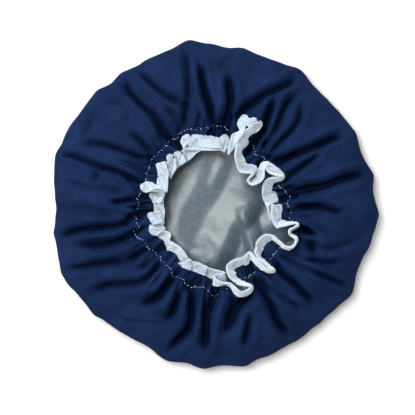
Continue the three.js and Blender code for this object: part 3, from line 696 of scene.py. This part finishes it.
class Cloth:
    """Rings of points laid from the free edge outwards and round to the crown, joined into one skin."""

    def __init__(self):
        self.points = []
        self.cut = []
        self.faces = []
        self.count = 0
        self.last = None

    def ring(self, angles, points, reach):
        """A ring of points at these bearings, this far out on the flat cut."""
        ids = self.take(points, np.column_stack([reach * np.cos(angles), reach * np.sin(angles)]))
        if self.last:
            self.join(self.last, (angles, ids))
        self.last = (angles, ids)

    def take(self, points, cut):
        """Keeps points and their places on the flat cut, and gives their numbers."""
        self.points.append(points)
        self.cut.append(cut)
        self.count += len(points)
        return np.arange(self.count - len(points), self.count)

    def join(self, upper, lower):
        """Faces between two rings, in quads where their bearings are the same."""
        (a, i), (b, j) = upper, lower
        if len(a) == len(b) and np.allclose(a, b):
            self.faces.extend(np.column_stack([i, j, np.roll(j, -1), np.roll(i, -1)]).tolist())
            return
        shift = int(np.searchsorted(b % LAP, a[0] % LAP)) % len(b)
        b = np.unwrap(np.roll(b % LAP, -shift))
        b += LAP * round((a[0] - b[0]) / LAP)
        j = closed(np.roll(j, -shift)).tolist()
        i = closed(i).tolist()
        a = np.append(a, a[0] + LAP)
        b = np.append(b, b[0] + LAP)
        m = n = 0
        while m < len(a) - 1 or n < len(b) - 1:
            if m < len(a) - 1 and (n == len(b) - 1 or a[m + 1] <= b[n + 1]):
                self.faces.append([i[m], j[n], i[m + 1]])
                m += 1
            else:
                self.faces.append([i[m], j[n], j[n + 1]])
                n += 1

    def patch(self, side, edge, reach, height):
        """The crown's middle as a square net drawn out to a disc, joined to the last ring all round."""
        a, b = np.meshgrid(np.linspace(-1, 1, side + 1), np.linspace(-1, 1, side + 1), indexing="ij")
        wide = np.abs(a) > np.abs(b)
        small = np.where(wide, b, a)
        large = np.where(wide, a, b)
        share = small / np.where(np.abs(large) < 1e-9, 1, large)
        angle = np.where(wide, np.pi / 4 * share, np.pi / 2 - np.pi / 4 * share)
        u, v = (large * np.cos(angle)).ravel(), (large * np.sin(angle)).ravel()
        bearing = np.arctan2(v, u) % LAP
        far = edge(bearing)
        x, y = MIDDLE[0] + u * far, MIDDLE[1] + v * far
        ids = self.take(np.column_stack([x, y, height(x, y)]), np.column_stack([u, v]) * reach)
        start = ids[0]
        ids = ids.reshape(side + 1, side + 1)
        quads = np.stack([ids[:-1, :-1], ids[:-1, 1:], ids[1:, 1:], ids[1:, :-1]], axis=-1)
        self.faces.extend(quads.reshape(-1, 4).tolist())
        rim = np.concatenate([ids[:-1, 0], ids[-1, :-1], ids[:0:-1, -1], ids[0, :0:-1]])
        rim = rim[np.argsort(bearing[rim - start])]
        self.join(self.last, (bearing[rim - start], rim))


def lay_sheet(laid, bearing, walk, frill, meets, floor, shares, side):
    """One cloth's skin: frill, laid roof and rim, then the crown in rings and a net."""
    cloth = Cloth()
    for k, row in enumerate(frill):
        cloth.ring(meets, row, CLOTH_RADIUS - FRILL_CUT * k / len(frill))
    for row, way in zip(laid, walk):
        cloth.ring(bearing, row, CLOTH_RADIUS - ELASTIC_CUT - way)
    last = np.hypot(laid[-1, :, 0] - MIDDLE[0], laid[-1, :, 1] - MIDDLE[1])
    crown = CLOTH_RADIUS - ELASTIC_CUT - walk[-1]
    for share in shares[:-1]:
        x = MIDDLE[0] + last * share * np.cos(bearing)
        y = MIDDLE[1] + last * share * np.sin(bearing)
        cloth.ring(bearing, np.column_stack([x, y, floor(x, y)]), crown * share)
    known = np.append(bearing, LAP)
    cloth.patch(side, lambda at: between(at, known, closed(last)) * shares[-1], crown * shares[-1], floor)
    return cloth


def cover_floor(x, y):
    """The cover lies nearly flat under the crown."""
    return COVER_LEVEL + hills(x, y, COVER_HILLS)


def liner_floor(x, y):
    """The lining lies over the crown in long soft ridges, steeper on their right."""
    rise = LINER_LEVEL + hills(x, y, LINER_HILLS)
    rise += LINER_DOME * smooth_step(*DOME_REACH, np.hypot(x - MIDDLE[0], y - MIDDLE[1]))
    spots = np.column_stack([x, y])
    pick = np.arange(len(x))
    for height, left, right, crest in FLOOR_RIDGES:
        path = along_curve(crest, np.linspace(0, len(crest) - 1, CREST_POINTS))
        gap = spots[:, None] - path
        reach = np.linalg.norm(gap, axis=2)
        near = reach.argmin(axis=1)
        far, gap = reach[pick, near], gap[pick, near]
        step = np.gradient(path, axis=0)[near]
        long = np.linalg.norm(step, axis=1)
        side = (step[:, 0] * gap[:, 1] - step[:, 1] * gap[:, 0]) / long
        share = np.clip((near + (step * gap).sum(axis=1) / long**2) / (CREST_POINTS - 1), 0, 1)
        fade = smooth_step(0, 0.26, share) * smooth_step(1, 0.74, share)
        width = left + (right - left) * smooth_step(-3, 3, side)
        slope = 1 - (np.sqrt(far**2 + 1.7) - 1.3) / width
        rise += height * fade * smooth_step(-0.25, 1.25, slope) * smooth_step(-0.2, 0.3, slope)
    return rise


def show(name, data):
    """A new object in the scene."""
    obj = bpy.data.objects.new(name, data)
    bpy.context.scene.collection.objects.link(obj)
    return obj


def wear(obj, material):
    """Gives an object its one material."""
    obj.data.materials.clear()
    obj.data.materials.append(material)


def mark(mesh, name, values):
    """An attribute on a mesh's points: one number each, or one vector each."""
    kind, field = ("FLOAT_VECTOR", "vector") if np.ndim(values) == 2 else ("FLOAT", "value")
    layer = mesh.attributes.new(name, kind, "POINT")
    layer.data.foreach_set(field, np.asarray(values, float).ravel())


def make_mesh(name, points, faces, cut, material):
    """A mesh object from millimetre points, smooth, with the flat cut as its map."""
    mesh = bpy.data.meshes.new(name)
    mesh.from_pydata((points * MM).tolist(), [], faces)
    mesh.polygons.foreach_set("use_smooth", [True] * len(mesh.polygons))
    layer = mesh.uv_layers.new(name="cloth")
    index = np.empty(len(mesh.loops), int)
    mesh.loops.foreach_get("vertex_index", index)
    layer.data.foreach_set("uv", (cut[index] * MM).ravel())
    mesh.update()
    mesh.validate()
    obj = show(name, mesh)
    wear(obj, material)
    return obj


def make_sheet(name, cloth, outer, inner, material):
    """A cloth with both its faces, moved off its skin along the normals and joined round the free edge."""
    points = np.concatenate(cloth.points)
    cut = np.concatenate(cloth.cut)
    normals = np.zeros_like(points)
    for size, (a, b, c, d) in ((3, (1, 0, 2, 0)), (4, (2, 0, 3, 1))):
        f = np.array([face for face in cloth.faces if len(face) == size])
        facing = np.cross(points[f[:, a]] - points[f[:, b]], points[f[:, c]] - points[f[:, d]])
        for corner in f.T:
            np.add.at(normals, corner, facing)
    normals = unit(normals)
    n = len(points)
    both = np.concatenate([points + normals * outer[:, None], points + normals * inner[:, None]])
    back = [[n + k for k in reversed(face)] for face in cloth.faces]
    edge = np.arange(FRILL_COLUMNS)
    after = np.roll(edge, -1)
    strip = np.column_stack([edge, after, n + after, n + edge]).tolist()
    return make_mesh(name, both, cloth.faces + back + strip, np.concatenate([cut, cut]), material)


def make_band(name, grid, along, girth, material):
    """A closed band that goes all the way round, with a row of the grid for each corner of its section."""
    count, columns = grid.shape[:2]
    points = grid.reshape(-1, 3)
    ids = np.arange(count * columns).reshape(count, columns)
    below = np.roll(ids, -1, axis=0)
    corners = [ids, np.roll(ids, -1, axis=1), np.roll(below, -1, axis=1), below]
    faces = np.stack(corners, axis=-1).reshape(-1, 4)
    a, b, c, d = (points[faces[:, k]] for k in range(4))
    if (a * np.cross(b, c) + a * np.cross(c, d)).sum() < 0:
        faces = faces[:, [0, 3, 2, 1]]
    cut = np.stack(np.broadcast_arrays(along, girth[:, None]), axis=-1).reshape(-1, 2)
    return make_mesh(name, points, faces.tolist(), cut, material)


def tape_section():
    """The folded tape across its width: distances from the hem and offsets from the middle.

    Then how many of these points lie on the outside.
    """
    outer = [(0.0, 0.45), (0.4, 0.72), (1.0, 0.72), (1.7, 0.54), (2.3, 0.7), (3.6, 0.78), (5.2, 0.8)]
    outer += [(6.6, 0.8), (7.7, 0.8), (8.3, 0.78), (8.9, 0.8), (10.2, 0.72), (11.0, 0.46), (11.25, 0.18)]
    inner = [(0.15, -0.34), (5.0, -0.4), (10.3, -0.26), (10.3, 0.26), (5.0, 0.4), (0.15, 0.34)]
    under = [(a, -b) for a, b in outer[::-1]]
    return np.array(outer + under + inner), 2 * len(outer)


def tape_puckers(station, across):
    """Small wrinkles that the seam draws into the tape, strongest beside it, and creases beyond."""
    seam = bell((across - 1.7) / 2.4)
    small = 1 - 2.6 * np.abs(Noise(41).at(station / 1.9 + across * 0.14, across / 4.0 + 1.3))
    middle = 1 - 2.8 * np.abs(Noise(42).at(station / 4.2 - across * 0.2, across / 7.0 + 7.1))
    long_waves = Noise(43).at(station / 9.0, across / 9.0 + 3.7)
    folded = smooth_step(-0.2, 0.5, Noise(46).at(station / 13, 0.7 + 0 * station))
    fold = bell((across - 8.3) / 0.45) * folded
    return small * 0.3 * (0.2 + 0.8 * seam) + middle * 0.34 + long_waves * 0.3 * (1 - seam) - fold * 0.45


def build_tape(material):
    """The folded tape round the free edge, one closed band with room inside it for the cloth.

    Then its hem, its ways up and off the cloth, and its length, for the seam.
    """
    hem, free, _, length = tape_path(TAPE_COLUMNS)
    width = np.linalg.norm(free - hem, axis=1)
    along = unit(free - hem)
    mid = (hem + free) / 2
    normal = unit(np.cross(np.roll(mid, -1, axis=0) - np.roll(mid, 1, axis=0), along))
    section, skin = tape_section()
    station = np.arange(TAPE_COLUMNS) / TAPE_COLUMNS * length
    edge_wave = Noise(44).at(station / 6.0, 0 * station + 7.7) * 0.4
    hem_wave = Noise(45).at(station / 3.4, 0 * station + 3.1) * 0.42
    rows = []
    for k, (a, b) in enumerate(section):
        level = b + 0.0 * station
        if k < skin:
            level = level + tape_puckers(station, a + 0 * station) * min(1.0, abs(b) / 0.5)
            level = np.sign(b) * np.maximum(np.sign(b) * level, min(abs(b), TAPE_HOLLOW))
        share = a / TAPE_WIDTH
        shift = share * width + edge_wave * share + hem_wave * (1 - share)
        rows.append(hem + along * shift[:, None] + normal * level[:, None])
    tape = make_band("edge_tape", np.array(rows), station, walked(section), material)
    return tape, hem, along, normal, length


def build_elastic(laid, bearing, material):
    """The flat elastic that lies against the lining under the stitches."""
    middle = laid[1].copy()
    middle[:, 2] = np.min([np.roll(middle[:, 2], k) for k in range(-6, 7)], axis=0) - ELASTIC_BELOW
    ends = 15
    around_it = np.concatenate([middle[-ends:], middle, middle[:ends]])
    soft = np.column_stack([smooth_run(column, ends)[ends:-ends] for column in around_it.T])
    upper = [(2.0, 0.35), (1.0, 0.4), (0, 0.4), (-1.0, 0.4), (-2.0, 0.35)]
    section = np.array([(a, -b) for a, b in upper[::-1]] + upper)
    way = np.column_stack([np.cos(bearing), np.sin(bearing), 0 * bearing])
    tilt = way * 0.55 + UP * 0.83
    flat = way * 0.83 - UP * 0.55
    grid = np.array([soft + tilt * a + flat * b for a, b in section])
    return make_band("elastic", grid, bearing / LAP * ELASTIC_LENGTH, np.arange(len(section)), material)


def add_node(tree, kind, settings=(), sockets=()):
    """Adds a node: first its settings, then the value or the link of each socket."""
    node = tree.nodes.new(kind)
    for key, value in dict(settings).items():
        setattr(node, key, value)
    for key, value in dict(sockets).items():
        if isinstance(value, Amount):
            value = value.socket
        if isinstance(value, bpy.types.NodeSocket):
            tree.links.new(value, node.inputs[key])
        else:
            node.inputs[key].default_value = value
    return node


class Amount:
    """A number worked out over a surface. Each sum or product with it adds a Math node to its finish."""

    def __init__(self, finish, socket):
        self.finish = finish
        self.socket = socket

    def _sum(self, operation, *terms):
        node = self.finish.add("ShaderNodeMath", {"operation": operation}, dict(enumerate(terms)))
        return Amount(self.finish, node.outputs[0])

    def __add__(self, other):
        return self._sum("ADD", self, other)

    def __mul__(self, other):
        return self._sum("MULTIPLY", self, other)

    def sine(self):
        return self._sum("SINE", self)

    def clear(self, low, high):
        """0 below low, 1 above high, smooth between."""
        smooth = {"interpolation_type": "SMOOTHSTEP"}
        ends = {"Value": self, "From Min": low, "From Max": high}
        return Amount(self.finish, self.finish.add("ShaderNodeMapRange", smooth, ends).outputs[0])


class Finish:
    """A material, with the parts its patterns are made of. Their sizes are in metres."""

    def __init__(self, name):
        self.material = bpy.data.materials.new(name)
        self.material.use_nodes = True
        self.tree = self.material.node_tree
        self.tree.nodes.clear()
        self.out = self.add("ShaderNodeOutputMaterial")

    def add(self, kind, settings=(), sockets=()):
        return add_node(self.tree, kind, settings, sockets)

    @cached_property
    def place(self):
        """The object's own coordinates."""
        return self.add("ShaderNodeTexCoord").outputs["Object"]

    @cached_property
    def cut(self):
        """The coordinates on the flat cut."""
        return self.add("ShaderNodeUVMap", {"uv_map": "cloth"}).outputs[0]

    def read(self, name):
        """A number marked on the mesh's points."""
        return Amount(self, self.add("ShaderNodeAttribute", {"attribute_name": name}).outputs["Fac"])

    def waves(self, *pitches):
        """Sine waves along the flat cut's two directions, this many metres long."""
        node = self.add("ShaderNodeSeparateXYZ", {}, {"Vector": self.cut})
        return [(Amount(self, node.outputs[k]) * (LAP / pitch)).sine() for k, pitch in enumerate(pitches)]

    def weave(self, pitch):
        """Height of a plain weave of threads a pitch apart."""
        u, v = self.waves(2 * pitch, 2 * pitch)
        return u * v

    def clouds(self, size, detail=3.0, rough=0.55, vector=None):
        """Random patches about this many metres across."""
        vector = self.place if vector is None else vector
        sockets = {"Vector": vector, "Scale": 1.0 / size, "Detail": detail, "Roughness": rough}
        return Amount(self, self.add("ShaderNodeTexNoise", {"noise_dimensions": "3D"}, sockets).outputs[0])

    def tint(self, factor, low, high):
        """From one colour to another. The first may come from another tint."""
        low = (*low, 1.0) if isinstance(low, tuple) else low
        sockets = {0: factor, 6: low, 7: (*high, 1.0)}
        return self.add("ShaderNodeMix", {"data_type": "RGBA"}, sockets).outputs[2]

    def bump(self, height, distance, strength, under=None):
        """The normal with this relief on it, which may lie on another one."""
        sockets = {"Height": height, "Distance": distance, "Strength": strength}
        if under is not None:
            sockets["Normal"] = under
        return self.add("ShaderNodeBump", {}, sockets).outputs[0]

    def surface(self, sockets):
        """The finished material, from the values of its shader."""
        shader = self.add("ShaderNodeBsdfPrincipled", {}, sockets)
        self.tree.links.new(shader.outputs[0], self.out.inputs["Surface"])
        return self.material


def navy_cotton():
    f = Finish("navy_cotton")
    broad = f.clouds(0.03, 4.0)
    fine = f.clouds(0.0016, 2.0)
    threads = f.weave(0.00042)
    slub = f.clouds(0.0009, 2.0, vector=f.cut)
    mottle = broad * 0.62 + fine * 0.3 + threads * 0.08
    shade = f.tint(mottle.clear(0.24, 0.7), NAVY_DEEP, NAVY_LIGHT)
    # painted shade: darker navy where the cloth lies in fold valleys, creases, puckers and along the seam
    shade = f.tint(f.read("painted_fold_shade") * 0.94, shade, NAVY_PAINTED_SHADE)
    normal = f.bump(threads * 0.6 + slub * 0.4, 0.00009, 0.6)
    normal = f.bump(f.clouds(0.0045, 4.0, 0.6), 0.0007, 0.5, normal)
    gloss = {"Specular IOR Level": 0.03, "Specular Tint": (0.72, 0.82, 1.0, 1.0)}
    return f.surface({"Base Color": shade, "Roughness": broad * 0.18 + 0.62, "Normal": normal, **gloss})


def silver_lining():
    f = Finish("silver_coated_lining")
    broad = f.clouds(0.045, 3.0)
    flecks = f.clouds(0.004, 4.0, 0.65)
    shade = f.tint((broad * 0.5 + flecks * 0.5).clear(0.28, 0.72), SILVER_DEEP, SILVER_LIGHT)
    normal = f.bump(f.weave(0.0005), 0.00003, 0.15)
    normal = f.bump(f.clouds(0.0032, 3.0, 0.6), 0.0005, 0.4, normal)
    normal = f.bump(f.clouds(0.011, 3.0, 0.5), 0.0016, 0.35, normal)
    gloss = {"Metallic": 0.12, "Specular IOR Level": 0.66, "Specular Tint": (1.0, 0.94, 0.84, 1.0)}
    return f.surface({"Base Color": shade, "Roughness": flecks * 0.16 + 0.36, "Normal": normal, **gloss})


def pale_tape():
    f = Finish("pale_binding_tape")
    broad = f.clouds(0.008, 4.0)
    fine = f.clouds(0.0013, 3.0, 0.7)
    shade = f.tint((broad * 0.45 + fine * 0.55).clear(0.32, 0.68), TAPE_DEEP, TAPE_LIGHT)
    normal = f.bump(f.weave(0.00045), 0.00006, 0.45)
    normal = f.bump(f.clouds(0.0026, 4.0, 0.65), 0.0008, 0.8, normal)
    nap = {"Specular IOR Level": 0.0, "Sheen Weight": 0.9, "Sheen Roughness": 0.5}
    glow = {"Subsurface Weight": 0.6, "Subsurface Radius": (1.0, 1.0, 1.0), "Subsurface Scale": 0.003}
    sockets = {"Base Color": shade, "Roughness": broad * 0.12 + 0.74, "Normal": normal}
    return f.surface({**sockets, **nap, **glow})


def white_thread():
    f = Finish("white_thread")
    strands = f.clouds(0.0004, 2.0)
    shade = f.tint(strands, THREAD_DEEP, THREAD_LIGHT)
    normal = f.bump(strands, 0.00005, 0.6)
    return f.surface({"Base Color": shade, "Roughness": strands * 0.2 + 0.5, "Normal": normal})


def woven_elastic():
    f = Finish("woven_elastic")
    picks, ribs = (wave * 0.5 + 0.5 for wave in f.waves(0.0011, 0.0008))
    shade = f.tint(ribs * 0.6 + picks * 0.4, ELASTIC_DEEP, ELASTIC_LIGHT)
    normal = f.bump(ribs * 0.7 + picks * 0.3, 0.0001, 0.6)
    return f.surface({"Base Color": shade, "Roughness": ribs * 0.1 + 0.7, "Normal": normal})


def pale_floor():
    f = Finish("pale_floor")
    shade = f.tint(f.clouds(0.3, 2.0), FLOOR_DEEP, FLOOR_LIGHT)
    return f.surface({"Base Color": shade, "Roughness": 0.85, "Specular IOR Level": 0.1})


def stitch_tree(name, material):
    """Nodes that lay one bent stitch of thread on each point, along its own direction."""
    tree = bpy.data.node_groups.new(name, "GeometryNodeTree")
    tree.interface.new_socket("Geometry", in_out="INPUT", socket_type="NodeSocketGeometry")
    for label, value in ELASTIC_STITCH.items():
        socket = tree.interface.new_socket(label, in_out="INPUT", socket_type="NodeSocketFloat")
        socket.default_value = value * MM
    tree.interface.new_socket("Geometry", in_out="OUTPUT", socket_type="NodeSocketGeometry")

    def add(kind, sockets=(), **settings):
        return add_node(tree, kind, settings, sockets).outputs

    given = add("NodeGroupInput")
    length, radius, rise = (given[label] for label in ELASTIC_STITCH)
    ahead = add("ShaderNodeMath", {0: length, 1: 0.5}, operation="MULTIPLY")[0]
    behind = add("ShaderNodeMath", {0: length, 1: -0.5}, operation="MULTIPLY")[0]
    sunk = add("ShaderNodeMath", {0: rise, 1: -0.6}, operation="MULTIPLY")[0]
    start = add("ShaderNodeCombineXYZ", {0: behind, 2: sunk})[0]
    middle = add("ShaderNodeCombineXYZ", {2: rise})[0]
    end = add("ShaderNodeCombineXYZ", {0: ahead, 2: sunk})[0]
    places = {"Resolution": 5, "Start": start, "Middle": middle, "End": end}
    bend = add("GeometryNodeCurveQuadraticBezier", places)[0]
    thread = add("GeometryNodeCurvePrimitiveCircle", {"Resolution": 6, "Radius": radius})[0]
    tube = add("GeometryNodeCurveToMesh", {"Curve": bend, "Profile Curve": thread, "Fill Caps": True})[0]
    spots = add("GeometryNodeMeshToPoints", {"Mesh": given["Geometry"]})[0]
    way = add("GeometryNodeInputNamedAttribute", {"Name": "way"}, data_type="FLOAT_VECTOR")[0]
    up = add("GeometryNodeInputNamedAttribute", {"Name": "up"}, data_type="FLOAT_VECTOR")[0]
    size = add("GeometryNodeInputNamedAttribute", {"Name": "size"}, data_type="FLOAT")[0]
    turned = add("FunctionNodeAlignRotationToVector", {"Vector": up}, axis="Z")[0]
    turned = add(
        "FunctionNodeAlignRotationToVector",
        {"Rotation": turned, "Vector": way},
        axis="X",
        pivot_axis="Z",
    )[0]
    scale = add("ShaderNodeCombineXYZ", {0: size, 1: 1.0, 2: 1.0})[0]
    stitch = {"Points": spots, "Instance": tube, "Rotation": turned, "Scale": scale}
    laid = add("GeometryNodeInstanceOnPoints", stitch)[0]
    real = add("GeometryNodeRealizeInstances", {"Geometry": laid})[0]
    smooth = add("GeometryNodeSetShadeSmooth", {"Geometry": real})[0]
    dressed = add("GeometryNodeSetMaterial", {"Geometry": smooth, "Material": material})[0]
    add("NodeGroupOutput", {0: dressed})
    return tree


def sew(name, spots, ways, ups, sizes, stitch, material):
    """Stitches on the given spots, as a plain mesh."""
    mesh = bpy.data.meshes.new(name + "_spots")
    mesh.from_pydata((spots * MM).tolist(), [], [])
    for key, values in (("way", ways), ("up", ups), ("size", sizes)):
        mark(mesh, key, values)
    holder = show(name + "_spots", mesh)
    modifier = holder.modifiers.new("stitches", "NODES")
    modifier.node_group = stitch_tree(name + "_nodes", material)
    for item in modifier.node_group.interface.items_tree:
        if item.in_out == "INPUT" and item.name in stitch:
            modifier[item.identifier] = stitch[item.name] * MM
    graph = bpy.context.evaluated_depsgraph_get()
    made = bpy.data.meshes.new_from_object(holder.evaluated_get(graph), depsgraph=graph)
    made.name = name
    bpy.data.objects.remove(holder)
    bpy.data.meshes.remove(mesh)
    return show(name, made)


def ring_stitches(laid, frill, bearing, meets, material):
    """The stitches that hold the elastic, one after another across the puckers."""
    order = np.argsort(meets % LAP)
    inside = between(bearing, (meets % LAP)[order], frill[-1][order])
    inwards = inside - laid[0]
    gap = np.linalg.norm(inwards, axis=1, keepdims=True)
    row = closed(laid[0] + inwards * np.minimum(1, SEAM_INSET / gap))
    walk = walked(row)
    count = int(walk[-1] / STITCH_PITCH)
    rng = np.random.default_rng(17)
    spot = (np.arange(count) + rng.uniform(-0.2, 0.2, count)) / count * walk[-1]
    at = between(spot, walk, row)
    ways = unit(between((spot + 0.6) % walk[-1], walk, row) - at)
    ups = between(spot, walk, closed(grid_normals(np.stack([inside, laid[0], laid[1]]))[1]))
    side = np.cross(ups, ways)
    ways = ways + side * rng.normal(0, 0.42, (count, 1))
    at = at + side * rng.normal(0, 0.35, (count, 1)) + ups * rng.uniform(-0.2, 0.2, (count, 1))
    return sew("elastic_stitches", at, ways, ups, rng.uniform(0.5, 1.3, count), ELASTIC_STITCH, material)


def tape_stitches(hem, along, normal, length, material):
    """The seam that holds the tape, near its hem on both faces."""
    count = int(length / TAPE_STITCH_PITCH)
    pick = (np.arange(count) / count * len(hem)).astype(int)
    rng = np.random.default_rng(19)
    forward = unit(np.roll(hem, -1, axis=0) - np.roll(hem, 1, axis=0))[pick]
    hem, along, normal = hem[pick], along[pick], normal[pick]
    spots = []
    for face in (1, -1):
        inset = TAPE_SEAM_INSET + rng.normal(0, 0.06, (count, 1))
        spots.append(hem + along * inset + normal * TAPE_SEAM_RISE * face)
    spots = np.concatenate(spots)
    ways = np.concatenate([forward, forward])
    ups = np.concatenate([normal, -normal])
    return sew("tape_seam_stitches", spots, ways, ups, np.ones(2 * count), TAPE_STITCH, material)


def build_cap():
    """The cap's six pieces."""
    bearing = np.arange(ROOF_COLUMNS) / ROOF_COLUMNS * LAP
    laid, laid_inside, painted_fold_shade, gather, walk = laid_cloth(bearing)
    frill, frill_inside, painted_pucker_shade, meets = frill_cloth(laid[0], gather, bearing)
    frill_count = len(frill) * FRILL_COLUMNS
    row = np.repeat(np.arange(len(frill)), FRILL_COLUMNS)
    into_tape = 1 - smooth_step(len(TAPE_SHARES) - 1, len(frill), row)

    skin = lay_sheet(laid, bearing, walk, frill, meets, cover_floor, COVER_SHARES, COVER_NET)
    outer = np.zeros(skin.count)
    outer[:frill_count] = COVER_IN_TAPE * into_tape
    cover = make_sheet("outer_cloth", skin, outer, outer - COVER_THICKNESS, navy_cotton())
    # painted shade along the elastic's seam, patchy round the ring
    seam_painted_shade = 0.5 + 0.5 * Noise(56).at(bearing / LAP * 2 * CELLS, 0 * bearing + 0.4)
    painted_fold_shade[0] = np.maximum(painted_fold_shade[0], seam_painted_shade * 0.55)
    # painted shade for the cover: the frill's puckers, then the laid cloth; none on the crown
    depth = np.zeros(skin.count)
    depth[: frill_count + painted_fold_shade.size] = np.concatenate([painted_pucker_shade.ravel(), painted_fold_shade.ravel()])
    mark(cover.data, "painted_fold_shade", np.concatenate([depth, depth]))

    # beyond the close rows at the elastic the lining takes every second row, and the last
    last = len(laid) - 1
    pick = [*range(CLOSE_ROWS), *range(CLOSE_ROWS, last, 2), last]
    near, way = laid_inside[pick], walk[pick]
    skin = lay_sheet(near, bearing, way, frill_inside, meets, liner_floor, LINER_SHARES, LINER_NET)
    outer = np.full(skin.count, -LINER_DROP)
    outer[:frill_count] = -LINER_IN_TAPE - (LINER_DROP - LINER_IN_TAPE) * (1 - into_tape)
    # over the crown its own floor keeps it clear of the cover
    outer[frill_count + len(pick) * ROOF_COLUMNS :] = 0.0
    liner = make_sheet("lining", skin, outer, outer - LINER_THICKNESS, silver_lining())

    thread = white_thread()
    tape, *seam_line = build_tape(pale_tape())
    stitches = ring_stitches(laid, frill, bearing, meets, thread)
    seam = tape_stitches(*seam_line, thread)
    elastic = build_elastic(laid, bearing, woven_elastic())
    return cover, liner, tape, stitches, seam, elastic


def set_stage():
    """A plain pale floor, soft light from the upper left and the camera straight above."""
    mesh = bpy.data.meshes.new("floor")
    corners = [(x * FLOOR_HALF, y * FLOOR_HALF, 0) for x, y in ((-1, -1), (1, -1), (1, 1), (-1, 1))]
    mesh.from_pydata(corners, [], [(0, 1, 2, 3)])
    floor = show("floor", mesh)
    wear(floor, pale_floor())
    world = bpy.data.worlds.new("studio")
    world.use_nodes = True
    sky = world.node_tree.nodes["Background"].inputs
    sky[0].default_value = (1.0, 1.0, 1.0, 1.0)
    sky[1].default_value = SKY_STRENGTH
    bpy.context.scene.world = world
    lamp = bpy.data.lights.new("key", "AREA")
    lamp.size = KEY_SIZE
    lamp.energy = KEY_POWER
    key = show("key", lamp)
    key.location = KEY_PLACE
    key.rotation_mode = "QUATERNION"
    key.rotation_quaternion = (-Vector(KEY_PLACE)).to_track_quat("-Z", "Y")
    camera = bpy.data.cameras.new("camera")
    camera.sensor_width = FILM_WIDTH
    camera.lens = FILM_WIDTH * EYE_DISTANCE / (PHOTO_SIDE * PIXEL)
    camera.clip_start = 0.05
    camera.clip_end = 20
    eye = show("camera", camera)
    eye.location = (EYE_PIXELS[0] * PIXEL, EYE_PIXELS[1] * PIXEL, EYE_DISTANCE + EYE_LEVEL)
    bpy.context.scene.camera = eye
    bpy.context.scene.view_settings.view_transform = "Standard"


def main():
    cover, liner, tape, stitches, seam, elastic = build_cap()
    set_stage()
    for piece, node, slot in (
        (cover, "outer_cover", "navy_cloth"),
        (liner, "waterproof_liner", "coated_cloth"),
        (tape, "edge_binding", "binding_tape"),
        (stitches, "elastic_zigzag_thread", "thread"),
        (seam, "binding_seam_thread", "thread"),
        (elastic, "elastic_band", "elastic"),
    ):
        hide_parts(node)
        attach(piece, "root")


main()
